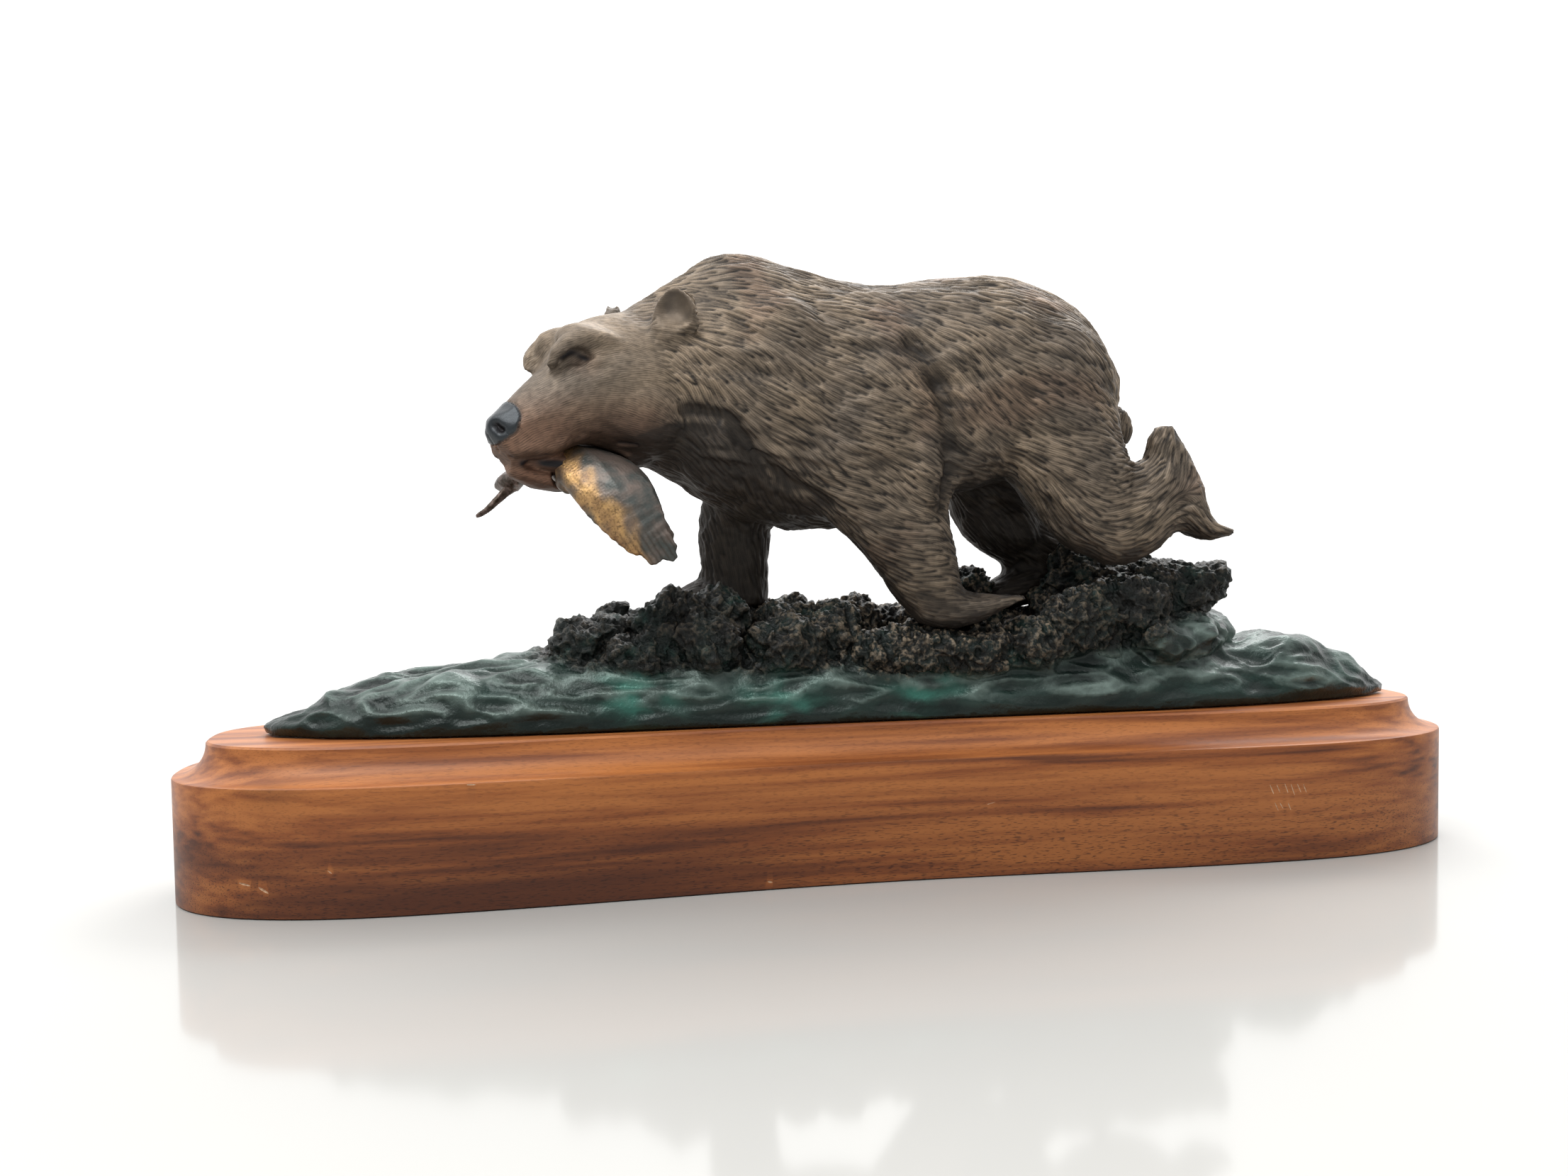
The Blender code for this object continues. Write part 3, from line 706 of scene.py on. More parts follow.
@dataclass(frozen=True)
class GoldenBronze:
    """The salmon's patina: golden side, grey-green back, dark speckles, and painted shade where it lies
    inside the bear's mouth.
    """

    side: tuple = (0.27, 0.155, 0.075)
    pale: tuple = (0.66, 0.40, 0.16)
    back: tuple = (0.075, 0.082, 0.076)
    belly: tuple = (0.17, 0.135, 0.115)
    wood: tuple = (0.14, 0.10, 0.085)
    speck: tuple = (0.035, 0.022, 0.012)
    metallic: float = 0.55

    def make(self) -> bpy.types.Material:
        """Builds the material."""
        look = Surface("golden_patina")
        gold = look.steps(look.noise(5, 4), [(0.35, self.side), (0.65, self.pale)])
        gold = look.mix(look.steps(look.noise(0.6, 3), [(0.50, 0.0), (0.68, 0.6)]), gold, self.speck)
        mauve = look.steps(look.noise(6, 4), [(0.4, self.back), (0.62, self.belly)])
        colour = look.mix(look.coat("back"), gold, mauve)
        # dark between the tail's rays, and painted shade where the fish lies in the bear's mouth
        colour = look.mix(look.coat("groove"), colour, self.speck)
        stick = look.steps(look.noise(2, 3), [(0.4, self.speck), (0.6, self.wood)])
        colour = look.mix(look.coat("stick"), colour, stick)
        look.link(colour, "Base Color")
        look.link(look.steps(look.noise(4, 3), [(0.3, 0.34), (0.7, 0.50)]), "Roughness")
        look.set(Metallic=self.metallic)
        look.bump(look.cells(0.9), 0.05)
        return look.material


@dataclass(frozen=True)
class Walnut:
    """Satin walnut: long grain, dark streaks low on the face, fine open pores, a lighter moulding."""

    light: tuple = (0.43, 0.150, 0.040)
    middle: tuple = (0.27, 0.080, 0.022)
    dark: tuple = (0.090, 0.026, 0.011)
    pore: tuple = (0.040, 0.013, 0.007)
    rim: tuple = (0.50, 0.180, 0.050)
    knot_place: tuple = (-164.0, 33.0)

    def make(self) -> bpy.types.Material:
        """Builds the material."""
        look = Surface("satin_walnut")
        bands = look.noise(15, 4, (0.05, 0.5, 1.0), 0.35)
        streak = look.noise(2.4, 4, (0.03, 0.6, 1.0), 0.2)
        tones = [(0.38, self.dark), (0.48, self.middle), (0.60, self.light)]
        colour = look.steps(look.mix(0.5, bands, streak), tones)
        low = look.coat("low")
        dusk = look.sum(low, look.steps(bands, [(0.40, 0.95), (0.56, 0.25)]), "MULTIPLY")
        colour = look.mix(dusk, colour, self.dark)
        rim = look.mix(look.steps(streak, [(0.35, 0.0), (0.6, 1.0)]), self.middle, self.rim)
        colour = look.mix(look.coat("rim"), colour, rim)
        knot = look.sum(look.coat("knot"), look.noise(3, 3, (0.3, 1, 1)), "MULTIPLY")
        colour = look.mix(knot, colour, self.pore)
        thin = look.steps(look.noise(0.30, 1, (0.13, 1.0, 1.0)), [(0.56, 0.0), (0.66, 1.0)])
        share = look.sum(look.sum(thin, 0.45, "MULTIPLY"), look.sum(low, 0.55, "ADD"), "MULTIPLY")
        colour = look.mix(share, colour, self.pore)
        look.link(colour, "Base Color")
        look.link(look.steps(bands, [(0.3, 0.52), (0.7, 0.40)]), "Roughness")
        look.set(Specular_IOR_Level=0.35, Coat_Weight=0.10, Coat_Roughness=0.25)
        look.bump(look.mix(0.5, streak, thin), 0.02)
        return look.material


@dataclass(frozen=True)
class BareWood:
    """Raw pale wood in the chips and strokes."""

    colour: tuple = (0.62, 0.42, 0.27)
    shadow: tuple = (0.40, 0.22, 0.12)

    def make(self) -> bpy.types.Material:
        """Builds the material."""
        look = Surface("bare_walnut")
        look.link(look.steps(look.noise(0.8, 3), [(0.35, self.shadow), (0.6, self.colour)]), "Base Color")
        look.set(Roughness=0.7)
        return look.material


@dataclass(frozen=True)
class Mark:
    """A soft line on the head: its path as (forwards, outwards, up), half its width, and its rise."""

    path: tuple
    width: float
    rise: float = 0.0

    def share(self, clay: Clay, side: int) -> Points:
        """How much each point lies in the mark.

        Args:
            clay: the bear's mesh.
            side: 1 for the bear's left, -1 for its right.

        Returns:
            One share a point.
        """
        return clay.line([on_head(ahead, side * out, up) for ahead, out, up in self.path], self.width)


@dataclass
class Head:
    """The bear's head: eyes under heavy brows, a dark nose, the mouth and two rounded ears."""

    upper_lid: Mark = Mark(((35.6, 9.4, 107.0), (32.4, 11.0, 109.6), (27.4, 12.4, 109.2)), 2.0, 0.45)
    lower_lid: Mark = Mark(((36.6, 9.6, 103.4), (31.5, 11.4, 103.6), (25.5, 12.8, 105.0)), 2.0, 0.35)
    slit: Mark = Mark(((35.4, 9.4, 105.2), (32.6, 10.9, 106.9), (28.6, 12.0, 106.9)), 1.15, -1.5)
    tear: Mark = Mark(((35.4, 9.4, 105.2), (39.4, 8.0, 101.6)), 0.9, -0.55)
    temple_fold: Mark = Mark(((29.4, 12.0, 106.4), (24.0, 13.2, 106.4), (18.0, 14.0, 107.6)), 0.9, -0.5)
    brow_crease: Mark = Mark(((38.6, 5.6, 105.0), (36.0, 6.8, 110.6), (31, 8.4, 114.4), (24, 10.6, 115.6)),
                             0.9, -0.35)
    socket: Mark = Mark(((35.0, 9.6, 105.6), (32.4, 11.0, 106.6), (28.8, 12.0, 106.6)), 2.3)
    eye_corner: tuple = (25.5, 12.6, 106.6)
    eye_corner_size: tuple = (4.4, 0.4)
    nose_middle: tuple = (49.6, 0, 88.0)
    nose_size: float = 8.2
    nose_foot: float = 81.6
    nose_rise: float = 0.35
    nose_rim: float = 0.75
    nostril: Mark = Mark(((53.6, 3.4, 87.4), (52.6, 4.4, 86.0)), 1.7, -1.9)
    nostril_wing: Mark = Mark(((52.0, 5.0, 86.0), (50.0, 6.2, 84.8), (48.4, 6.8, 86.4)), 0.9, -0.5)
    nose_split: Mark = Mark(((53.6, 0, 84.6), (52.6, 0, 79.0)), 0.8, -0.5)
    lip: Mark = Mark(((50, 4.2, 77.9), (40, 8.4, 78.3), (30, 10.6, 77.6), (20, 12.6, 80.6),
                      (14, 13.6, 83.6)), 1.0, -0.7)
    gum: Mark = Mark(((45, 5.0, 76.4), (38, 6.6, 76.8), (31, 8.0, 76.6)), 2.0)
    jowl: Mark = Mark(((46, 6.0, 80.8), (38, 9.0, 81.4), (28, 11.2, 81.8)), 2.4, 0.35)
    temples: tuple = (((18.0, 12.8, 110.6), 9.0), ((22.0, 7.5, 116.0), 7.0))
    crown_rounds: int = 60
    temple_rounds: int = 30
    ear_facing: tuple = (0.74, 0.62, -0.16)
    ear_centre: tuple = (4.0, 19.0, 119.4)
    ear_size: tuple = (2.7, 6.4, 7.6)
    ear_cup: float = 3.8
    ear_middle: tuple = (3.4, 20.0, 121.6)
    ear_root: Mark = Mark(((9.5, 17.0, 116.6), (6.6, 20.2, 113.4)), 3.2, 0.6)
    ear_crease: Mark = Mark(((0.6, 20.4, 126.0), (-0.6, 23.0, 120.4), (1.2, 22.0, 113.6)), 2.2, -1.0)
    ear_skin: Points = field(init=False, default=None)

    def cut(self, clay: Clay, side: int, *marks: Mark) -> list[Points]:
        """Presses or raises marks on one side, all at once.

        Args:
            clay: the bear's mesh.
            side: 1 for the bear's left, -1 for its right.
            *marks: the marks.

        Returns:
            How much each point lies in each mark.
        """
        shares = [mark.share(clay, side) for mark in marks]
        clay.push(sum(mark.rise * share for mark, share in zip(marks, shares)))
        return shares

    def shape(self, clay: Clay) -> dict[str, Points]:
        """Models the whole head.

        Args:
            clay: the bear's mesh.

        Returns:
            The masks that its finish reads.
        """
        eyes = self.eyes(clay)
        pad, nostrils = self.nose(clay)
        mouth = self.mouth(clay)
        self.smooth_crown(clay)
        cups = self.ear_hollows(clay)
        # painted shade in the eyes, nostrils, mouth and ear cups, kept as the hollow coat
        hollow = np.maximum.reduce([nostrils, mouth, eyes, 0.42 * cups])
        return {"pad": pad, "hollow": hollow}

    def eyes(self, clay: Clay) -> Points:
        """Models the lids, the eye's slit and the folds round it.

        Args:
            clay: the bear's mesh.

        Returns:
            1 in the dark of an eye, the eye itself and painted shade in its socket, 0 elsewhere.
        """
        dark = np.zeros(len(clay.points))
        for side in SIDES:
            self.cut(clay, side, self.upper_lid, self.lower_lid)
            self.cut(clay, side, self.slit)
            self.cut(clay, side, self.tear, self.temple_fold)
            self.cut(clay, side, self.brow_crease)
            # the eye's own dark, with painted shade in its socket
            dark = np.maximum(dark, np.clip(1.5 * self.socket.share(clay, side) - 0.45, 0, 1))
            ahead, out, up = self.eye_corner
            radius, rise = self.eye_corner_size
            clay.push(rise * clay.near(on_head(ahead, side * out, up), radius))
        return dark

    def nose(self, clay: Clay) -> tuple[Points, Points]:
        """Models the nose pad with its rim, nostrils and split.

        Args:
            clay: the bear's mesh.

        Returns:
            1 on the pad, and 1 in the nostrils, where painted shade goes, 0 elsewhere.
        """
        away = clay.points - np.array(on_head(*self.nose_middle))
        ahead = np.array([-cos(HEAD_TURN), -sin(HEAD_TURN), 0.0])
        spread = np.linalg.norm(away * np.array([1, 1, 1.25]), axis=1) + noise_at(clay.points, 3) * 0.2
        pad = ramp(-spread, -self.nose_size, 0.6 - self.nose_size)
        pad = pad * ramp(away @ ahead + 0.35 * away[:, 2], -3.2, -2.4)
        pad = pad * ramp(clay.points[:, 2] - TOP, self.nose_foot, self.nose_foot + 0.8)
        edge = pad * (1 - pad) * 4
        clay.push(self.nose_rise * pad - self.nose_rim * edge)
        nostrils = np.zeros(len(clay.points))
        for side in SIDES:
            nostril = self.cut(clay, side, self.nostril, self.nostril_wing)[0]
            # painted shade in the nostrils
            nostrils = np.maximum(nostrils, np.clip(1.6 * nostril - 0.15, 0, 1))
        self.cut(clay, SIDES[0], self.nose_split)
        return pad, nostrils

    def mouth(self, clay: Clay) -> Points:
        """Cuts the line of the lips and swells the jowls.

        Args:
            clay: the bear's mesh.

        Returns:
            1 where painted shade goes along the lips and on the gums in the open mouth, 0 elsewhere.
        """
        dark = np.zeros(len(clay.points))
        for side in SIDES:
            lip = self.cut(clay, side, self.lip)[0]
            gum = self.gum.share(clay, side)
            # painted shade along the lip line and on the gums that fill the open mouth
            dark = np.maximum(dark, np.maximum(0.8 * lip, np.clip(1.3 * gum, 0, 1)))
            self.cut(clay, side, self.jowl)
        return dark

    def smooth_crown(self, clay: Clay) -> None:
        """Smooths the forehead and the temples and leaves the ears.

        Args:
            clay: the bear's mesh.
        """
        ahead, out, up = self.ear_middle
        along = forwards(clay.points)
        ears = sum(clay.near(on_head(ahead, side * out, up), 11.0) for side in SIDES)
        crown = ramp(along, 6, 12) * ramp(-along, -36, -30) * ramp(clay.points[:, 2] - TOP, 110.5, 113.5)
        clay.soften(crown * np.clip(1 - 1.6 * ears, 0, 1), self.crown_rounds)
        spots = sum(sum(clay.near(on_head(ahead, side * out, up), radius)
                        for (ahead, out, up), radius in self.temples) for side in SIDES)
        clay.soften(np.clip(1.6 * spots, 0, 1), self.temple_rounds)

    def ear(self, side: int) -> bpy.types.Object:
        """One rounded ear, hollow in front, standing off the skull.

        Args:
            side: 1 for the bear's left, -1 for its right.

        Returns:
            The ear, to be melted into the body.
        """
        ahead, out, up = self.ear_facing
        facing = Vector((ahead, out * side, up)).normalized()
        upright = (Vector((0, 0, 1)) - facing * facing.z).normalized()
        across = upright.cross(facing)
        ahead, out, up = self.ear_centre
        centre = Vector((ahead, out * side, up))
        thick, half_width, half_height = self.ear_size
        deselect_all()
        bpy.ops.mesh.primitive_uv_sphere_add(segments=48, ring_count=24, radius=1.0)
        made = bpy.context.active_object
        for vert in made.data.vertices:
            front, wide, high = vert.co
            cup = self.ear_cup * max(1 - (wide ** 2 + (high - 0.2) ** 2) * 1.5, 0) if front > 0 else 0.0
            narrow = 1.10 - 0.46 * high * max(high, 0) + 0.45 * max(-high, 0)
            lean = 0.9 * (high + 1)
            spread = across * wide * half_width * narrow + upright * high * half_height
            place = centre + facing * (front * thick - cup) + spread - facing * (0.5 * lean)
            vert.co = Vector(on_head(*place)) * MM
        return made

    def ear_hollows(self, clay: Clay) -> Points:
        """Finds the ears' hollows and presses the crease behind each ear.

        Args:
            clay: the bear's mesh.

        Returns:
            1 in an ear's cup, where painted shade goes, 0 elsewhere.
        """
        hollow = np.zeros(len(clay.points))
        self.ear_skin = np.zeros(len(clay.points))
        for side in SIDES:
            ahead, out, up = self.ear_facing
            facing = np.array(on_head(ahead, out * side, up)) - np.array(on_head(0, 0, 0))
            ahead, out, up = self.ear_middle
            away = np.linalg.norm(clay.points - np.array(on_head(ahead, side * out, up)), axis=1)
            self.ear_skin = np.maximum(self.ear_skin, np.exp(-((away / 7.4) ** 4)))
            # the ear's cup, which gets painted shade
            hollow = np.maximum(hollow, ramp(-away, -5.4, -3.8) * ramp(clay.normals @ facing, 0.35, 0.8))
            self.cut(clay, side, self.ear_root)
            clay.push(self.ear_crease.rise * self.ear_crease.share(clay, side) * (1 - hollow))
        return hollow


@dataclass
class Bear:
    """The walking bear, its coat carved in short strokes that follow its lie."""

    head: Head = field(default_factory=Head)
    grain: float = 0.48
    relaxing: int = 22
    pieces: tuple = ("carved_bear_head", "carved_bear_shoulders", "carved_bear_flanks",
                     "carved_bear_haunches")
    stroke_length: float = 11.5
    stroke_width: float = 0.41
    stroke_depth: float = 0.95
    row_gap: float = 1.0
    skin_depth: float = 1.6
    lock_height: float = 0.48
    seed: int = 7
    armpit: tuple = ((16.0, -31, 158.0), (21.7, -31, 147.6), (25.4, -31, 133.4), (27.3, -30, 119.1),
                     (28.6, -28, 108.0))
    chest_fold: tuple = ((-50.0, -24, 136.5), (-40.0, -28, 134.0), (-32.0, -30, 124.0),
                         (-24.0, -30, 112.0), (-15.0, -28, 104.0))
    elbow_swells: tuple = (((33.0, -31, 137.0), 1.0), ((32.0, -31, 154.0), 0.6))
    chest_line: tuple = ((-66, 130), (-56, 134), (-44, 134.4), (-35, 132.7), (-29, 123.3), (-23, 111.4),
                         (-12, 101))
    throat: tuple = (-60.0, -22.0, 124.0)
    throat_size: float = 13
    tail: tuple = ((92.6, 4.0, 133.5), (4.6, 3.6, 7.0), -14)
    flank: tuple = ((57.0, 12.0, 103.0), (13.5, 9.0, 9.5), 38)
    gums: tuple = (on_head(35.0, 0.0, 76.9), (11.5, 7.4, 3.3), 4)
    guides: tuple = (
        (-104, 88, 20), (-90, 100, 30), (-80, 84, 10), (-76, 116, 25), (-62, 104, 0), (-60, 88, -20),
        (-54, 118, -12), (-50, 104, -50), (-49, 92, -66), (-46, 80, -45), (-34, 137, -6), (-36, 118, -25),
        (-28, 98, -30), (-34, 70, -80), (-32, 46, -86), (-46, 36, -30), (-40, 74, -40),
        (-14, 132, -14), (-18, 112, -30), (-6, 96, -26), (0, 90, -25), (10, 72, -24), (18, 54, -18),
        (24, 40, -6), (40, 34, 0), (10, 125, -40), (22, 118, -36), (8, 108, -34), (20, 82, -24),
        (30, 98, -44), (32, 74, -30), (38, 130, -16), (42, 112, -30), (52, 98, -24), (60, 130, -18),
        (74, 118, -34), (60, 100, -22), (70, 80, -15), (66, 90, -20), (84, 106, -62), (82, 62, 4),
        (92, 60, 42), (99, 75, 74), (100, 84, 84), (107, 60, -58), (113, 55, -30), (58, 58, -62),
        (64, 50, -25), (60, 36, 10),
    )
    groove_strength: Points = field(init=False, default=None)
    across: Points = field(init=False, default=None)

    def lie(self, points: Points) -> Points:
        """Which way the coat lies in the side view, as guides (x, height, degrees) along the body give it.

        Args:
            points: places in millimetres.

        Returns:
            One unit direction a place, before it is laid on the surface.
        """
        guides = np.array(self.guides, float)
        grid = points[:, [0, 2]] - np.array([0, TOP])
        turn = np.radians(guides[:, 2])
        weights = np.empty((len(grid), len(guides)), np.float32)
        for k, (x, z, _) in enumerate(guides):
            away = (grid[:, 0] - x) ** 2 + (grid[:, 1] - z) ** 2
            weights[:, k] = 1 / (away + 18) ** 2
        along = weights @ np.cos(turn)
        rise = weights @ np.sin(turn)
        direction = np.stack([along, np.zeros(len(grid)), rise], axis=1)
        return direction / np.linalg.norm(direction, axis=1)[:, None]

    def flow(self, clay: Clay) -> Points:
        """The coat's direction on the surface: the lie laid flat, with a gentle drift.

        Args:
            clay: the bear's mesh.

        Returns:
            One unit direction a point.
        """
        direction = self.lie(clay.points)
        drift = 0.42 * noise_at(clay.points, 12, 4.0)
        swing = np.cross(clay.normals, direction)
        direction = direction + swing * drift[:, None]
        flat = direction - clay.normals * np.sum(direction * clay.normals, axis=1)[:, None]
        size = np.linalg.norm(flat, axis=1)
        steep = np.array([0.0, 0.0, -1.0]) - clay.normals * -clay.normals[:, 2:3]
        flat = np.where((size > 0.12)[:, None], flat, steep)
        return flat / (np.linalg.norm(flat, axis=1)[:, None] + 1e-9)

    def face_share(self, points: Points) -> Points:
        """1 on the short-haired face, 0 on the body.

        Args:
            points: places in millimetres.

        Returns:
            One share a place.
        """
        edge = forwards(points) + noise_at(points, 12, 9.0) * 3
        return ramp(edge, 2, 14) * ramp(points[:, 2] - TOP, 62, 70)

    def lumps(self) -> list[bpy.types.Object]:
        """The tail, the far flank and the gums, to be melted into the body.

        Returns:
            One rounded lump each.
        """
        made = []
        for place, size, turn in (self.tail, self.flank, self.gums):
            deselect_all()
            bpy.ops.mesh.primitive_uv_sphere_add(segments=32, ring_count=16, radius=MM)
            lump = bpy.context.active_object
            lump.data.transform(Matrix.Diagonal((*size, 1)))
            tilt = Matrix.Rotation(radians(turn), 4, "Y")
            lump.data.transform(Matrix.Translation(Vector(place) * MM) @ tilt)
            made.append(lump)
        return made

    def shape_body(self, clay: Clay) -> Points:
        """Deepens the folds behind and before the near foreleg.

        Args:
            clay: the bear's mesh.

        Returns:
            How much painted shade the folds get, 0 to 1.
        """
        armpit = clay.line(list(self.armpit), 4.6)
        armpit = armpit * ramp(-clay.points[:, 1], 8, 16)
        chest = clay.line(list(self.chest_fold), 3.4)
        swell = sum(share * clay.near(place, 8.0) for place, share in self.elbow_swells)
        clay.push(-2.4 * armpit - 1.4 * chest + 1.5 * swell)
        return np.clip(0.85 * armpit + 0.8 * chest, 0, 1)

    def swell_locks(self, clay: Clay) -> Points:
        """Raises wavy locks, coarser than the strokes.

        Args:
            clay: the bear's mesh.

        Returns:
            How low each point lies between the locks, 0 to 1; the body's painted shade darkens these low
            places.
        """
        flow = self.flow(clay)
        across = np.cross(clay.normals, flow)
        body = 1 - self.face_share(clay.points)
        bend = noise_at(clay.points, 11, 1.0)
        phase = clay.points[:, 2] * 0.9 + clay.points[:, 0] * 0.35 + bend * 6.0
        wave = 0.5 * np.sin(phase * 0.75) * noise_at(clay.points, 16, 8.0)
        tuft = noise_at(clay.points, (9, 5, 4), 5.0) + wave
        clay.push(self.lock_height * tuft * body * (np.abs(across[:, 0]) + 0.4).clip(0, 1))
        return ramp(-tuft, -0.1, 0.7) * body

    def comb(self, clay: Clay) -> Points:
        """Cuts the coat's strokes, row behind row.

        Args:
            clay: the bear's mesh.

        Returns:
            How deep each point lies in a stroke, 0 to 1.
        """
        rng = np.random.default_rng(self.seed)
        points, normals = clay.points, clay.normals
        flow = self.flow(clay)
        across = np.cross(normals, flow)
        face = self.face_share(points)
        claws = ramp(points[:, 2] - TOP, 37, 42) + ramp(points[:, 0], 45, 50)
        short = np.clip(face + 0.55 * (1 - np.clip(claws, 0, 1)), 0, 1)
        tree = tree_of(points)
        depth = np.zeros(len(points))
        covered = np.zeros(len(points), bool)
        lengths = self.stroke_length * (1 - 0.68 * short)
        gaps = self.row_gap * (1 - 0.40 * short)
        for index in rng.permutation(len(points)):
            if covered[index]:
                continue
            length = lengths[index] * (0.65 + 0.75 * rng.random())
            gap = gaps[index] * (0.88 + 0.3 * rng.random())
            bend, wave = 0.05 * (rng.random() - 0.5), 2 * pi * rng.random()
            found = np.array([hit[1] for hit in tree.find_range(points[index], length * 0.62)])
            away = points[found] - points[index]
            run = away @ flow[index]
            side = away @ across[index] + bend * run ** 2 + 0.12 * (np.sin(run * 0.5 + wave) - sin(wave))
            on_skin = np.abs(away @ normals[index]) < self.skin_depth
            covered[found[((run / (length * 0.60)) ** 2 + (side / gap) ** 2 < 1) & on_skin]] = True
            share = np.clip(run / length + 0.5, 0, 1)
            taper = (0.35 + 0.65 * share) * np.clip((1 - share) / 0.12, 0, 1) * np.clip(share / 0.35, 0, 1)
            width = self.stroke_width * (1 - 0.25 * short[index]) * (0.8 + 0.45 * rng.random())
            cut = np.exp(-((side / width) ** 2)) * taper * on_skin * (0.75 + 0.25 * rng.random())
            depth[found] = np.maximum(depth[found], cut)
        depth = depth + 0.45 * (clay.averaged(depth) - depth)
        strength = self.stroke_depth * (1 - 0.72 * face) * (1 - 0.35 * (short - face))
        uneven = 0.8 + 0.35 * noise_at(points, 9, 2.0)
        self.groove_strength = strength / self.stroke_depth
        self.across = across
        clay.raise_by(-depth * strength * uneven)
        clay.write()
        return depth

    def shadows(self, skin: Points, normals: Points) -> Points:
        """Painted shade: darker low down, on faces that turn downwards, on the inner legs, under the chest
        and at the throat.

        Args:
            skin: the points before the strokes were cut.
            normals: their normals.

        Returns:
            How much painted shade each place gets.
        """
        height = skin[:, 2] - TOP
        low = ramp(-height, -62, -38) * 0.40
        under = ramp(-normals[:, 2], 0.05, 0.75)
        inner = ramp(skin[:, 1], -24, -12) * ramp(-height, -84, -74)
        edge = np.interp(skin[:, 0], *np.array(self.chest_line).T) + 2.0 * noise_at(skin, 6, 3.0)
        chest = ramp(edge - skin[:, 2], -0.5, 3.0) * ramp(skin[:, 0], -66, -58) * ramp(-skin[:, 0], 11, 15)
        reach = np.linalg.norm(skin - np.array(self.throat), axis=1) / self.throat_size
        return 0.52 * under + 0.84 * inner + low + 0.68 * chest + 0.6 * np.exp(-(reach ** 2))

    def build(self, node: bpy.types.Object) -> list[bpy.types.Object]:
        """Makes the bear.

        Args:
            node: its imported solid.

        Returns:
            The finished pieces, from its head back.
        """
        extras = (self.head.ear(SIDES[0]), self.head.ear(SIDES[1]), *self.lumps())
        bear = fine_copy(node, "carved_bear", self.grain, self.relaxing, extras)
        clay = Clay(bear)
        masks = self.head.shape(clay)
        folds = self.shape_body(clay)
        lock_shade = self.swell_locks(clay)
        skin = clay.points.copy()
        normals = clay.normals.copy()
        smooth = np.clip(masks["pad"] + masks["hollow"] + 0.6 * self.head.ear_skin, 0, 1)
        groove = self.comb(clay)
        clay.points = clay.points + (skin - clay.points) * smooth[:, None]
        clay.write()
        groove = groove * (1 - smooth) * (0.35 + 0.65 * self.groove_strength)
        # painted shade: the underside, inner legs, chest and throat, the folds, and the low places between
        # the locks
        shade = np.clip(self.shadows(skin, normals) + 0.85 * folds + 0.42 * lock_shade, 0, 0.94)
        muzzle = ramp(-(skin[:, 2] - TOP), -100, -84) * self.face_share(skin)
        warm = np.clip(muzzle * 0.8 + 0.3 * ramp(noise_at(skin, 20, 6.0), 0.15, 0.55), 0, 1)
        coats = {"groove": groove, "shade": shade, "warm": warm, "smooth": smooth, "across": self.across,
                 **masks}
        for name, values in coats.items():
            clay.paint(name, values)
        bear.data.materials.append(BrownBronze().make())
        return dealt_out(bear, list(self.pieces))


